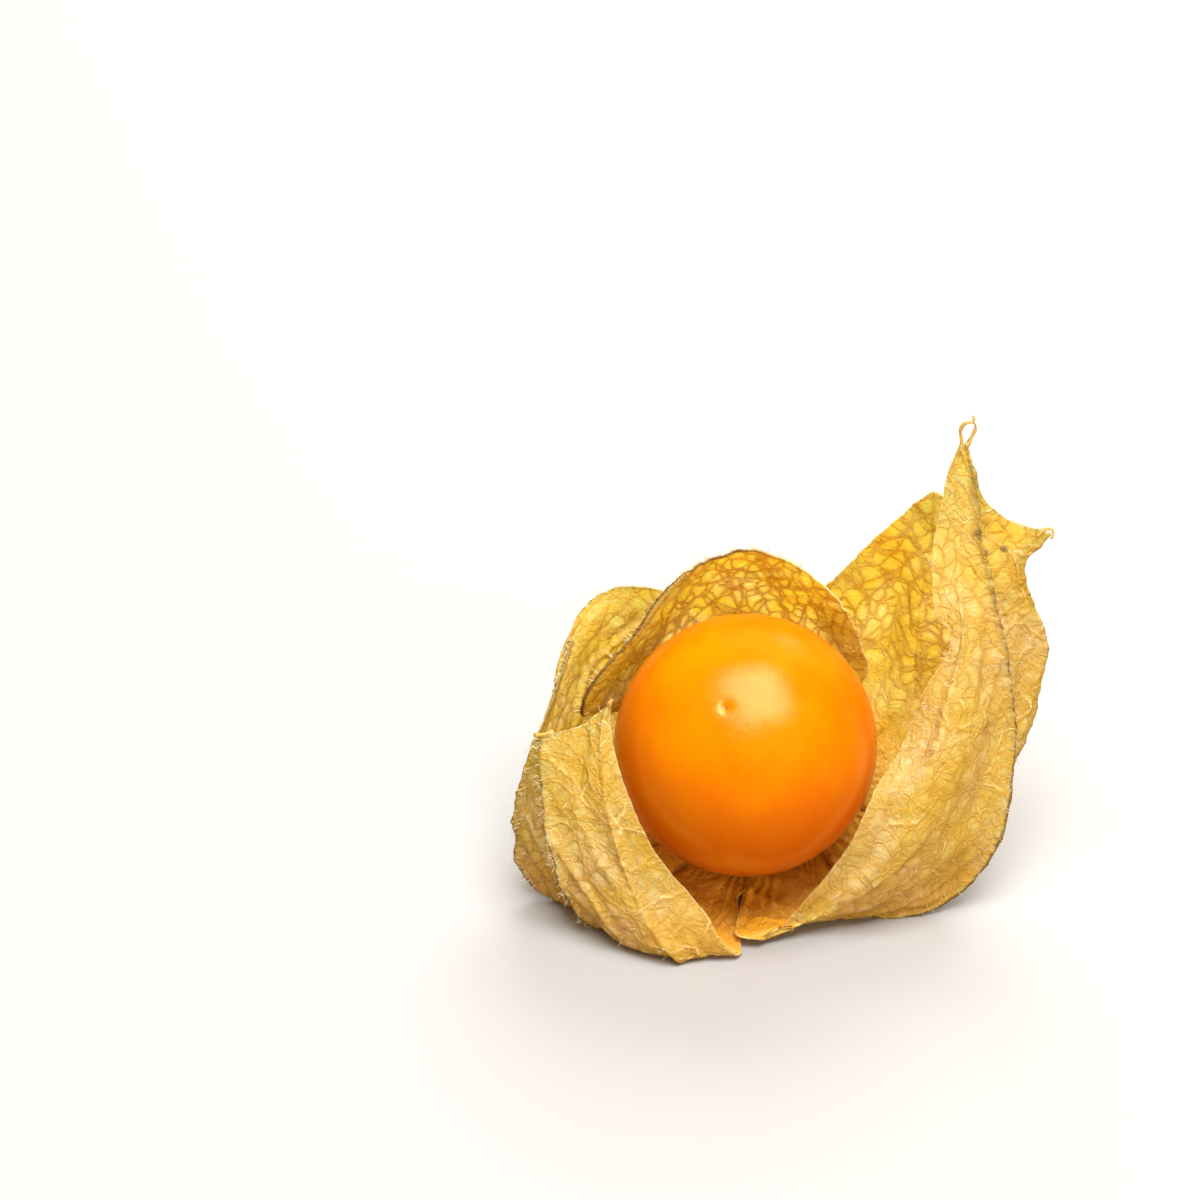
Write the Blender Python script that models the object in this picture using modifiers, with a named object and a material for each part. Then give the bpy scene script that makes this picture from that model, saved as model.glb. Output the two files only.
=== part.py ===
# Physalis fruit lying in its torn-open papery husk. Lengths are in millimetres until a mesh is made.
# The design frame has its centre at the berry's centre, +Z up, and the open side of the husk towards -Y.

import math

import bmesh
import bpy
import numpy as np
from mathutils import Matrix, Vector

METRES = 0.001

# The berry: a slightly flattened ball whose axis runs from the stalk to the style scar.
BERRY_RADIUS = 10.0
BERRY_FLATTENING = 0.97
SCAR_RADIUS = 1.6
SCAR_DEPTH = 0.35
PROFILE_STEPS = 24
TURN_STEPS = 32
FRUIT_AXIS = np.array([-0.18, -0.62, 0.76])

# The surface that the fruit lies on is this far below the berry's centre.
REST_HEIGHT = 12.5
# The dry sheet touches it at these places, and arches off it by up to UNDERSIDE_HOLLOW between them.
RESTING_PLACES = [(-13.2, -3.4), (-3.5, -9.8), (10.4, -4.8)]
UNDERSIDE_HOLLOW = 0.25
HOLLOW_SPREAD = 3.5

# The husk: a thin sheet that starts as a ring round the stalk.
HUSK_THICKNESS = 0.4
HUSK_CLEARANCE = 0.4
BASE_RING_RADIUS = 1.5
BASE_RING_DISTANCE = 10.9
BOWL_ANGLE = 22.0
BOWL_RADIUS = 11.2
HUSK_ROWS = 28
PANEL_COLUMNS = 3

# The stalk: a neck through the husk's ring, then a cut stem that lies back along the surface.
STALK_GAP = 0.35
NECK_STEPS = (0.0, 0.9, 1.9)
STALK_ROUTE = [(3.4, 10.4, -11.2), (3.9, 13.4, -11.5), (4.6, 16.6, -11.5)]
STALK_RADIUS = 0.85
STALK_STEPS = 16
SWELLING = 0.35
SWELLING_PLACE = 0.3
SWELLING_SPREAD = 0.1
CUT_FLARE = 0.15
CUT_FLARE_START = 0.9

# How finely a smooth curve is sampled between two of its control points.
CURVE_SAMPLES = 12

# Each sector of the husk is a list of meridians, from the ring to the rim. A meridian is its direction round the
# fruit's axis in degrees (0 to the right, 90 to the back and up), how sharply the sheet folds along it (0 smooth,
# 1 a ridge), and the points it passes through after the bowl.
LEFT_FLAP = [
    (266, 0.0, [(-0.3, -2.2, -12.3), (-0.4, -6.6, -12.3), (-0.5, -10.5, -12.3), (-1.9, -10.8, -10.4),
                (-3.0, -10.1, -8.6), (-4.3, -9.3, -7.2), (-6.9, -8.0, -4.2), (-8.4, -6.8, -1.5),
                (-9.7, -4.8, 1.6), (-10.2, -3.2, 3.4), (-10.3, -2.0, 4.4)]),
    (252, 0.5, [(-1.8, -2.2, -12.3), (-3.6, -7.4, -12.3), (-5.0, -11.4, -12.2), (-7.2, -11.0, -9.4),
                (-9.0, -9.4, -5.8), (-10.3, -7.6, -2.2), (-10.9, -5.4, 1.2), (-10.9, -3.4, 3.6),
                (-10.4, -1.8, 4.8)]),
    (236, 0.0, [(-3.8, -1.0, -12.3), (-6.4, -5.8, -12.3), (-8.7, -9.7, -12.2), (-11.2, -9.4, -9.4),
                (-12.4, -8.0, -5.4), (-13.0, -6.2, -1.8), (-12.9, -4.0, 1.2), (-12.6, -2.2, 3.3)]),
    (221, 1.0, [(-5.4, 0.4, -12.1), (-8.2, -3.0, -12.3), (-10.9, -6.4, -12.3), (-13.2, -7.0, -9.2),
                (-14.6, -6.3, -5.5), (-15.2, -4.9, -2.2), (-15.3, -3.3, 0.4), (-15.1, -1.8, 2.0)]),
    (206, 0.6, [(-6.9, 2.4, -10.9), (-10.6, -0.8, -12.2), (-13.8, -3.0, -12.3), (-16.0, -2.0, -11.4),
                (-17.2, -1.6, -9.2), (-17.5, -1.5, -6.6), (-17.1, -1.2, -4.0), (-16.3, -0.6, -1.2),
                (-15.8, 0.1, 0.6)]),
    (184, 0.4, [(-8.0, 5.6, -8.6), (-12.2, 4.8, -8.0), (-15.1, 4.4, -5.6), (-15.5, 4.4, -2.4),
                (-14.8, 6.2, 0.8), (-14.1, 8.8, 3.1), (-12.5, 11.0, 4.8)]),
    (160, 0.0, [(-7.0, 8.8, -5.8), (-10.6, 9.8, -3.6), (-12.0, 9.8, 0.2), (-11.2, 10.8, 3.6),
                (-9.8, 12.2, 6.6)]),
    (146, 0.0, [(-6.0, 10.2, -4.2), (-7.6, 12.2, -1.2), (-7.0, 12.9, 2.0), (-6.0, 13.2, 4.4),
                (-5.2, 13.0, 5.8)]),
]
BACK_ARCH = [
    (144, 0.8, [(-5.9, 10.0, -4.4), (-10.0, 8.6, -2.6), (-12.5, 5.0, -0.6), (-11.5, 4.8, 2.4),
                (-8.6, 6.8, 5.2), (-6.5, 8.6, 7.8), (-4.7, 9.9, 9.2)]),
    (120, 0.0, [(-3.2, 12.0, -2.2), (-5.0, 12.6, 1.6), (-5.0, 12.0, 5.4), (-3.6, 11.6, 8.6),
                (-2.3, 10.9, 10.2)]),
    (96, 0.0, [(0.5, 12.9, -1.6), (0.2, 14.0, 2.4), (0.3, 13.4, 6.6), (0.9, 11.7, 10.4)]),
    (73, 0.0, [(4.0, 12.2, -1.6), (4.9, 13.0, 2.0), (5.0, 12.2, 5.6), (4.9, 10.7, 9.0)]),
    (54, 0.2, [(7.2, 10.0, -3.0), (9.2, 9.4, -0.8), (9.7, 9.3, 1.4), (9.1, 9.5, 3.6), (8.2, 9.4, 5.8),
               (7.1, 9.6, 7.5)]),
]
RIGHT_TENT = [
    (52, 0.0, [(7.2, 10.4, -3.2), (8.6, 12.6, -0.8), (7.6, 13.7, 2.4), (5.6, 13.6, 5.2)]),
    (40, 0.0, [(9.0, 9.4, -3.6), (11.4, 12.0, 0.6), (11.8, 13.4, 6.0), (11.0, 13.1, 11.6)]),
    (27, 0.6, [(10.2, 7.8, -4.6), (12.6, 9.0, -1.0), (13.4, 11.0, 4.6), (14.0, 12.2, 8.8),
               (14.4, 12.9, 14.8)]),
    (8, 0.2, [(11.6, 5.2, -5.8), (17.0, 5.8, -4.6), (19.8, 6.4, 0.4), (20.4, 7.8, 5.6), (19.8, 9.2, 10.2),
              (18.6, 10.2, 13.4)]),
    (-15, 0.5, [(11.4, 2.4, -8.2), (16.6, 2.0, -7.8), (20.4, 2.4, -3.2), (22.2, 3.4, 2.6), (22.6, 4.6, 6.4),
                (21.6, 5.4, 9.4), (20.9, 5.9, 12.2), (22.9, 6.6, 14.9)]),
    (-31, 0.0, [(10.4, -0.2, -10.2), (15.2, -1.0, -10.0), (19.4, -0.4, -6.0), (21.2, 1.8, 0.2),
                (21.0, 3.2, 4.6), (19.8, 4.6, 9.6), (19.5, 6.0, 13.2), (20.2, 7.0, 15.6)]),
    (-40, 0.0, [(9.2, -1.4, -11.4), (12.8, -3.0, -11.5), (17.2, -2.2, -9.2), (20.0, -0.4, -3.6),
                (20.6, 2.2, 2.6), (19.6, 4.0, 8.4), (18.4, 5.6, 13.4), (17.9, 7.2, 17.5)]),
    (-48, 0.8, [(7.8, -2.2, -12.0), (10.2, -5.0, -12.3), (13.4, -4.7, -12.1), (16.4, -3.7, -10.6),
                (18.6, -2.7, -7.8), (19.7, -1.4, -4.4), (20.2, 0.9, 0.2), (19.8, 2.1, 4.0),
                (18.6, 4.0, 10.2), (17.6, 5.6, 14.4), (17.4, 7.2, 18.4), (16.6, 9.2, 22.8)]),
    (-68, 0.0, [(4.9, -2.8, -12.2), (7.2, -6.2, -12.1), (9.8, -7.6, -8.6), (12.4, -6.8, -4.6),
                (14.4, -4.6, -0.4), (15.6, -1.8, 4.0), (16.3, 1.2, 8.6), (15.8, 4.0, 12.8),
                (15.6, 6.2, 17.0), (16.4, 9.0, 22.4)]),
    (-90, 0.0, [(1.4, -2.2, -12.3), (0.2, -6.0, -12.3), (0.2, -8.8, -11.7), (3.0, -7.6, -10.9),
                (5.4, -7.0, -8.0), (7.7, -6.4, -4.8), (9.2, -5.0, -1.7), (11.4, -1.6, 0.5),
                (13.4, 0.6, 4.6), (15.2, 2.1, 8.2), (14.1, 3.2, 9.9), (13.9, 4.6, 13.0), (14.4, 6.2, 16.4),
                (16.0, 8.8, 21.6)]),
]
SECTORS = [LEFT_FLAP, BACK_ARCH, RIGHT_TENT]
# How far up its meridian each tear begins: left flap to arch, arch to tent, tent to left flap.
TEAR_STARTS = [0.34, 0.34, 0.30]
TEAR_OPENING = 0.16


def axis_frame():
    """The fruit's axis, and the two directions across it that meridian angles are measured from."""
    axis = FRUIT_AXIS / np.linalg.norm(FRUIT_AXIS)
    across = np.array([1.0, 0.0, 0.0])
    across -= axis * across.dot(axis)
    across /= np.linalg.norm(across)
    return axis, across, np.cross(axis, across)


def on_bowl(direction, polar, distance):
    """A point round the stalk end: polar is its angle from the axis at the berry's centre."""
    axis, across, up = axis_frame()
    side = math.cos(direction) * across + math.sin(direction) * up
    return distance * (math.sin(polar) * side - math.cos(polar) * axis)


def smooth_curve(control, count):
    """Points at even steps along a centripetal Catmull-Rom curve through the control points."""
    inner = np.array(control, dtype=float)
    ends = np.vstack([2 * inner[0] - inner[1], inner, 2 * inner[-1] - inner[-2]])
    dense = []
    for first in range(len(inner) - 1):
        a, b, c, d = ends[first:first + 4]
        t_b = np.linalg.norm(b - a) ** 0.5
        t_c = t_b + np.linalg.norm(c - b) ** 0.5
        t_d = t_c + np.linalg.norm(d - c) ** 0.5
        for t in np.linspace(t_b, t_c, CURVE_SAMPLES, endpoint=False):
            ab = a + (b - a) * t / t_b
            bc = b + (c - b) * (t - t_b) / (t_c - t_b)
            cd = c + (d - c) * (t - t_c) / (t_d - t_c)
            abc = ab + (bc - ab) * t / t_c
            bcd = bc + (cd - bc) * (t - t_b) / (t_d - t_b)
            dense.append(abc + (bcd - abc) * (t - t_b) / (t_c - t_b))
    dense = np.vstack([dense, inner[-1]])
    along = np.concatenate([[0.0], np.cumsum(np.linalg.norm(np.diff(dense, axis=0), axis=1))])
    steps = np.linspace(0.0, along[-1], count)
    return np.column_stack([np.interp(steps, along, dense[:, k]) for k in range(3)])


def meridian_curve(meridian):
    angle, _, free_points = meridian
    direction = math.radians(angle)
    ring_polar = math.asin(BASE_RING_RADIUS / BASE_RING_DISTANCE)
    start = [on_bowl(direction, ring_polar, BASE_RING_DISTANCE),
             on_bowl(direction, math.radians(BOWL_ANGLE), BOWL_RADIUS)]
    return smooth_curve(start + free_points, HUSK_ROWS + 1)


def across_panels(row, folds):
    """Columns between the meridians of one row: smooth across them, or folded where the meridian is a ridge."""
    steps = np.diff(row, axis=0)
    spans = np.linalg.norm(steps, axis=1) + 1e-9
    last = len(row) - 1
    columns = []
    for panel in range(last):
        before = max(panel - 1, 0)
        after = min(panel + 1, last - 1)
        smooth_start = (row[panel + 1] - row[max(panel - 1, 0)]) / (spans[panel] + spans[before] * (panel > 0))
        smooth_end = (row[min(panel + 2, last)] - row[panel]) / (spans[panel] + spans[after] * (panel + 1 < last))
        straight = steps[panel] / spans[panel]
        start = spans[panel] * (smooth_start + (straight - smooth_start) * folds[panel])
        end = spans[panel] * (smooth_end + (straight - smooth_end) * folds[panel + 1])
        for column in range(PANEL_COLUMNS):
            s = column / PANEL_COLUMNS
            columns.append((2 * s ** 3 - 3 * s ** 2 + 1) * row[panel] + (s ** 3 - 2 * s ** 2 + s) * start
                           + (3 * s ** 2 - 2 * s ** 3) * row[panel + 1] + (s ** 3 - s ** 2) * end)
    columns.append(row[-1])
    return np.array(columns)


def close_tears(curves):
    """Below each tear its two edges are one; above it they part over TEAR_OPENING of their length."""
    for index, tear_start in enumerate(TEAR_STARTS):
        left = curves[index][-1]
        right = curves[(index + 1) % len(curves)][0]
        middle = (left + right) / 2
        for row in range(HUSK_ROWS + 1):
            opening = min(max((row / HUSK_ROWS - tear_start) / TEAR_OPENING, 0.0), 1.0)
            opening *= opening * (3 - 2 * opening)
            left[row] = middle[row] + (left[row] - middle[row]) * opening
            right[row] = middle[row] + (right[row] - middle[row]) * opening


def husk_grids():
    """The sheet of each sector as rows of points, ring first."""
    curves = [[meridian_curve(meridian) for meridian in sector] for sector in SECTORS]
    close_tears(curves)
    grids = []
    for sector, lines in zip(SECTORS, curves):
        folds = [meridian[1] for meridian in sector]
        rows = np.array(lines).transpose(1, 0, 2)
        grids.append(np.array([across_panels(row, folds) for row in rows]))
    return grids


def keep_clear(point):
    """Moves a point of the sheet out of the berry and up off the surface, as far as the thickness needs."""
    nearest = BERRY_RADIUS + HUSK_CLEARANCE + HUSK_THICKNESS / 2
    distance = np.linalg.norm(point)
    if distance < nearest:
        point = point * nearest / distance
    from_touch = min(math.hypot(point[0] - x, point[1] - y) for x, y in RESTING_PLACES)
    hollow = UNDERSIDE_HOLLOW * min(from_touch / HOLLOW_SPREAD, 1.0)
    point[2] = max(point[2], HUSK_THICKNESS / 2 - REST_HEIGHT + hollow)
    return point


def make_material(name, colour, roughness):
    material = bpy.data.materials.new(name)
    material.use_nodes = True
    shader = material.node_tree.nodes["Principled BSDF"]
    shader.inputs["Base Color"].default_value = (*colour, 1.0)
    shader.inputs["Roughness"].default_value = roughness
    shader.inputs["Metallic"].default_value = 0.0
    return material


def add_object(name, mesh, material, collection):
    mesh.shade_smooth()
    mesh.materials.append(material)
    part = bpy.data.objects.new(name, mesh)
    collection.objects.link(part)
    return part


def make_berry(collection):
    """A turned profile: half an ellipse with a shallow dimple round the style scar, at the +Z end."""
    profile = bpy.data.meshes.new("berry")
    points = []
    for step in range(PROFILE_STEPS + 1):
        polar = math.pi * step / PROFILE_STEPS
        across = BERRY_RADIUS * math.sin(polar)
        height = BERRY_RADIUS * BERRY_FLATTENING * math.cos(polar)
        if height > 0:
            height -= SCAR_DEPTH * math.exp(-(across / SCAR_RADIUS) ** 2)
        points.append((across * METRES, 0.0, height * METRES))
    edges = [(step, step + 1) for step in range(PROFILE_STEPS)]
    profile.from_pydata(points, edges, [])
    material = make_material("berry_skin", (0.95, 0.28, 0.01), 0.25)
    berry = add_object("berry", profile, material, collection)
    turn = berry.modifiers.new("turn", "SCREW")
    turn.steps = TURN_STEPS
    turn.render_steps = TURN_STEPS
    turn.use_merge_vertices = True
    turn.merge_threshold = 0.00001
    axis, across, up = axis_frame()
    berry.matrix_world = rotation_from(across, up, axis)
    return berry


def rotation_from(x_axis, y_axis, z_axis):
    matrix = Matrix.Identity(4)
    for row in range(3):
        for column, direction in enumerate((x_axis, y_axis, z_axis)):
            matrix[row][column] = direction[row]
    return matrix


def make_husk(collection):
    """One sheet: the three sectors welded below their tears, then thickened."""
    sheet = bmesh.new()
    for grid in husk_grids():
        rows, columns = grid.shape[:2]
        corners = [[sheet.verts.new(Vector(keep_clear(grid[row, column])) * METRES) for column in range(columns)]
                   for row in range(rows)]
        for row in range(rows - 1):
            for column in range(columns - 1):
                sheet.faces.new((corners[row][column], corners[row][column + 1],
                                 corners[row + 1][column + 1], corners[row + 1][column]))
    bmesh.ops.remove_doubles(sheet, verts=sheet.verts, dist=0.00001)
    bmesh.ops.recalc_face_normals(sheet, faces=sheet.faces)
    mesh = bpy.data.meshes.new("husk")
    sheet.to_mesh(mesh)
    sheet.free()
    material = make_material("husk_paper", (0.78, 0.55, 0.18), 0.7)
    husk = add_object("husk", mesh, material, collection)
    thicken = husk.modifiers.new("thickness", "SOLIDIFY")
    thicken.thickness = HUSK_THICKNESS * METRES
    thicken.offset = 0.0
    return husk


def make_stalk(collection):
    """A tube along one smooth route, from the berry's stem end through the husk's ring to the cut end."""
    axis = axis_frame()[0]
    top = BERRY_RADIUS * BERRY_FLATTENING + STALK_GAP
    neck = [tuple(-axis * (top + step)) for step in NECK_STEPS]
    route = smooth_curve(neck + STALK_ROUTE, STALK_STEPS + 1)
    curve = bpy.data.curves.new("stalk", "CURVE")
    curve.dimensions = "3D"
    curve.bevel_depth = STALK_RADIUS * METRES
    curve.bevel_resolution = 3
    curve.use_fill_caps = True
    line = curve.splines.new("POLY")
    line.points.add(STALK_STEPS)
    for step, (point, place) in enumerate(zip(line.points, route)):
        point.co = (*(place * METRES), 1.0)
        along = step / STALK_STEPS
        swelling = SWELLING * math.exp(-((along - SWELLING_PLACE) / SWELLING_SPREAD) ** 2)
        flare = CUT_FLARE * max(along - CUT_FLARE_START, 0.0) / (1.0 - CUT_FLARE_START)
        point.radius = 1.0 + swelling + flare
    stalk = bpy.data.objects.new("stalk", curve)
    curve.materials.append(make_material("stalk_bark", (0.42, 0.30, 0.12), 0.8))
    collection.objects.link(stalk)
    return stalk


def centre_on_origin(parts, holder):
    """Moves the holder so that the middle of the footprint, on the surface, is at the origin."""
    graph = bpy.context.evaluated_depsgraph_get()
    points = []
    for part in parts:
        evaluated = part.evaluated_get(graph)
        mesh = evaluated.to_mesh()
        points += [evaluated.matrix_world @ vertex.co for vertex in mesh.vertices]
        evaluated.to_mesh_clear()
    low = [min(point[k] for point in points) for k in range(3)]
    high = [max(point[k] for point in points) for k in range(3)]
    holder.location = (-(low[0] + high[0]) / 2, -(low[1] + high[1]) / 2, -low[2])


def main():
    for existing in list(bpy.data.objects):
        bpy.data.objects.remove(existing, do_unlink=True)
    collection = bpy.data.collections.new("physalis_berry")
    bpy.context.scene.collection.children.link(collection)
    holder = bpy.data.objects.new("fruit_middle", None)
    collection.objects.link(holder)
    parts = [make_berry(collection), make_husk(collection), make_stalk(collection)]
    for part in parts:
        part.parent = holder
    bpy.context.view_layer.update()
    centre_on_origin(parts, holder)


main()
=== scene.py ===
import math
import random

import bpy
import numpy as np
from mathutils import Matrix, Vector, noise


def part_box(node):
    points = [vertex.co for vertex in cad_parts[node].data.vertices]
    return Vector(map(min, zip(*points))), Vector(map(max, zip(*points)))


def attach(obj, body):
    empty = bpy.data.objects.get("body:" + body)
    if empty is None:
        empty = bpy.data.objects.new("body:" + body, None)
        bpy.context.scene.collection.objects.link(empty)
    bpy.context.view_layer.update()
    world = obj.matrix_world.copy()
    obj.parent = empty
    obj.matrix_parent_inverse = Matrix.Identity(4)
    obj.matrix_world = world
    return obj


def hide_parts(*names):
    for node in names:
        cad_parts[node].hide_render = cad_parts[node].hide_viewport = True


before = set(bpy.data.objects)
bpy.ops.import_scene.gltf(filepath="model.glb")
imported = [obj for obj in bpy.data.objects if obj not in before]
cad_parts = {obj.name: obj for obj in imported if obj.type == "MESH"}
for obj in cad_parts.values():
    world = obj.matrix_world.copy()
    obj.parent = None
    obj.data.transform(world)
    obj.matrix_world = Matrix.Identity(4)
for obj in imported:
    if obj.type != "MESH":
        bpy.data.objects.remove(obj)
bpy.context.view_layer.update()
mm = 0.001

# The berry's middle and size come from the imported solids. Shapes below are in millimetres from that middle.
berryLow, berryHigh = [np.array(corner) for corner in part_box("berry")]
berryMiddle = (berryLow + berryHigh) / 2
berryRadius = (berryHigh - berryLow)[0] / 2 / mm
restHeight = berryMiddle[2] / mm
fruitAxis = np.array([-0.18, -0.62, 0.76])
fruitAxis /= np.linalg.norm(fruitAxis)

# Settings that many nodes share. A colour mix takes its share at input 0 and its two colours at 6 and 7.
smoothStep = {"interpolation_type": "SMOOTHSTEP"}
colourMix = {"data_type": "RGBA", "output": 2}


def srgb(code):
    values = [int(code[k:k + 2], 16) / 255 for k in (1, 3, 5)]
    linear = [v / 12.92 if v <= 0.04045 else ((v + 0.055) / 1.055) ** 2.4 for v in values]
    return (*linear, 1.0)


def addNode(tree, kind, inputs=(), output=0, **settings):
    # inputs are values or other nodes' outputs, in order or by place and name, and one output comes back
    node = tree.nodes.new(kind)
    for name, value in settings.items():
        setattr(node, name, value)
    for slot, value in inputs.items() if isinstance(inputs, dict) else enumerate(inputs):
        if isinstance(value, bpy.types.NodeSocket):
            tree.links.new(value, node.inputs[slot])
        else:
            node.inputs[slot].default_value = value
    return node.outputs[output]


def newMaterial(name):
    # an empty material, its nodes, and the socket that its finished surface goes to
    material = bpy.data.materials.new(name)
    material.use_nodes = True
    tree = material.node_tree
    tree.nodes.clear()
    return material, tree, tree.nodes.new("ShaderNodeOutputMaterial").inputs["Surface"]


def setStops(ramp, stops):
    # stops change places as they move, so their colours come last
    for extra in range(len(stops) - 2):
        ramp.elements.new(0.5)
    for element, (place, code) in zip(ramp.elements, stops):
        element.position = place
    for element, (place, code) in zip(ramp.elements, stops):
        element.color = srgb(code)


def placeInMm(tree):
    # where a point is on its piece, so that the patterns' sizes are millimetres too
    position = addNode(tree, "ShaderNodeTexCoord", output="Object")
    return addNode(tree, "ShaderNodeVectorMath", {0: position, "Scale": 1 / mm}, operation="SCALE")


def weightedSum(tree, *pairs):
    # a sum of values, each times its own factor
    total = 0.0
    for value, factor in pairs:
        total = addNode(tree, "ShaderNodeMath", (value, factor, total), operation="MULTIPLY_ADD")
    return total


def finishPiece(piece, material, node):
    piece.data.materials.append(material)
    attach(piece, "root")
    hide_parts(node)


# The husk: one papery sheet, closed round the stalk as a bowl and torn into three flaps above it.
husk = {
    "thickness": 0.14,        # mm, thicker than the real 0.1 so that its torn edge shows
    "clearance": 0.25,        # mm that the sheet keeps from the berry
    "offSurface": 0.02,       # mm that it keeps from the floor
    "ringRadius": 1.5,        # mm, the ring round the stalk
    "ringDistance": 10.9,     # mm from the berry's middle
    "bowlAngle": 22,          # degrees from the axis
    "bowlRadius": 11.2,
    "ribWidth": 0.2,          # mm to where a rib has fallen to a third
    "ribHeight": 0.22,        # mm that the strongest rib stands out
    "keelHeight": 0.65,       # mm that the sheet is drawn up along a rib
    "keelWidth": 1.1,
    "crumple": 0.75, "crumpleSize": 6.0,      # mm deep and mm across, the slow hollows and swellings
    "crease": 0.15, "creaseSize": 4.4,        # the folds of dry paper
    "wrinkle": 0.045, "wrinkleSize": 1.9,     # the small folds across them
    "flute": 0.36, "fluteWidth": 3.0,         # the long folds that run from stalk to rim
    "fluteStretch": 0.17,     # across over along
    "pleat": 0.42,            # mm, the gathers round the stalk
    "pleatAngle": 4.6,        # degrees round the axis
    "pleatStray": 3.2,        # mm over which pleats wander
    "pleatPatch": 2.8,        # mm over which they come and go
    "cellPuff": 0.085,        # mm, how far the sheet swells between veins
    "veinHeight": 0.06,       # mm, how far veins stand out
    "calmEdge": 2.2,          # mm from a rim or off the berry where the relief reaches its full depth
    "notchDepth": 0.2, "notchStep": 0.09,     # mm, how torn edges are eaten away
    "rows": 212,
    "columns": (218, 150, 440),
    "tears": (0.34, 0.34, 0.18),              # where each tear starts, as a share of the length
    "tearOpening": (0.16, 0.16, 0.06),
}
venation = {
    "cell": 1.3,              # mm across one mesh of the net of small veins
    "fineCell": 0.5,
    "bigCell": 4.4,
    "sideVeins": 2.7,         # mm between the veins that branch off a rib
    "sideSlope": 0.9,         # how fast they climb towards the rim
    "wander": 0.75,           # mm that veins stray from straight
    "wanderSize": 2.6,
    "veinWidth": 0.068,       # mm, half the width of a small vein
    "bigVeinWidth": 0.075,
}
# A meridian: degrees round the axis, fold (1 is a sharp ridge), rib strength, and points from bowl to rim.
leftFlap = [
    (266, 0.0, 0.0, [(-0.3, -2.2, -12.3), (-0.4, -6.6, -12.3), (-0.5, -10.5, -12.3), (-1.9, -10.8, -10.4),
                     (-3.0, -10.1, -8.6), (-4.3, -9.3, -7.2), (-6.9, -8.0, -4.2), (-8.4, -6.8, -1.5),
                     (-9.7, -4.8, 1.6), (-10.2, -3.2, 3.4), (-10.3, -2.0, 4.4)]),
    (252, 0.5, 0.5, [(-1.8, -2.2, -12.3), (-3.6, -7.4, -12.3), (-5.0, -11.4, -12.2), (-7.2, -11.0, -9.4),
                     (-9.0, -9.4, -5.8), (-10.3, -7.6, -2.2), (-10.9, -5.4, 1.2), (-10.9, -3.4, 3.6),
                     (-10.4, -1.8, 4.8)]),
    (236, 0.0, 0.0, [(-3.8, -1.0, -12.3), (-6.4, -5.8, -12.3), (-8.7, -9.7, -12.2), (-11.2, -9.4, -9.4),
                     (-12.4, -8.0, -5.4), (-13.0, -6.2, -1.8), (-12.9, -4.0, 1.2), (-12.6, -2.2, 3.3)]),
    (221, 1.0, 1.0, [(-5.4, 0.4, -12.1), (-8.2, -3.0, -12.3), (-10.9, -6.4, -12.3), (-13.2, -7.0, -9.2),
                     (-14.6, -6.3, -5.5), (-15.2, -4.9, -2.2), (-15.3, -3.3, 0.4), (-15.1, -1.8, 2.0)]),
    (206, 0.6, 0.9, [(-6.9, 2.4, -10.9), (-10.6, -0.8, -12.2), (-13.8, -3.0, -12.3), (-16.0, -2.0, -11.4),
                     (-17.2, -1.6, -9.2), (-17.5, -1.5, -6.6), (-17.1, -1.2, -4.0), (-16.3, -0.6, -1.2),
                     (-15.8, 0.1, 0.6)]),
    (184, 0.4, 0.4, [(-8.0, 5.6, -8.6), (-12.2, 4.8, -8.0), (-15.1, 4.4, -5.6), (-15.5, 4.4, -2.4),
                     (-14.8, 6.2, 0.8), (-14.1, 8.8, 3.1), (-12.5, 11.0, 4.8)]),
    (160, 0.0, 0.3, [(-7.0, 8.8, -5.8), (-10.6, 9.8, -3.6), (-12.0, 9.8, 0.2), (-11.2, 10.8, 3.6),
                     (-9.8, 12.2, 6.6)]),
    (146, 0.0, 0.0, [(-6.0, 10.2, -4.2), (-7.6, 12.2, -1.2), (-7.0, 12.9, 2.0), (-6.0, 13.2, 4.4),
                     (-5.2, 13.0, 5.8)]),
]
backArch = [
    (144, 0.8, 0.7, [(-5.9, 10.0, -4.4), (-10.0, 8.6, -2.6), (-12.5, 5.0, -0.6), (-11.5, 4.8, 2.4),
                     (-8.6, 6.8, 5.2), (-6.5, 8.6, 7.8), (-4.7, 9.9, 9.2)]),
    (120, 0.0, 0.0, [(-3.2, 12.0, -2.2), (-5.0, 12.6, 1.6), (-5.0, 12.0, 5.4), (-3.6, 11.6, 8.6),
                     (-2.3, 10.9, 10.2)]),
    (96, 0.0, 0.15, [(0.5, 12.9, -1.6), (0.2, 14.0, 2.4), (0.3, 13.4, 6.6), (0.9, 11.7, 10.4)]),
    (73, 0.0, 0.0, [(4.0, 12.2, -1.6), (4.9, 13.0, 2.0), (5.0, 12.2, 5.6), (4.9, 10.7, 9.0)]),
    (54, 0.2, 0.0, [(7.2, 10.0, -3.0), (9.2, 9.4, -0.8), (9.7, 9.3, 1.4), (9.1, 9.5, 3.6), (8.2, 9.4, 5.8),
                    (7.1, 9.6, 7.5)]),
]
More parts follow.
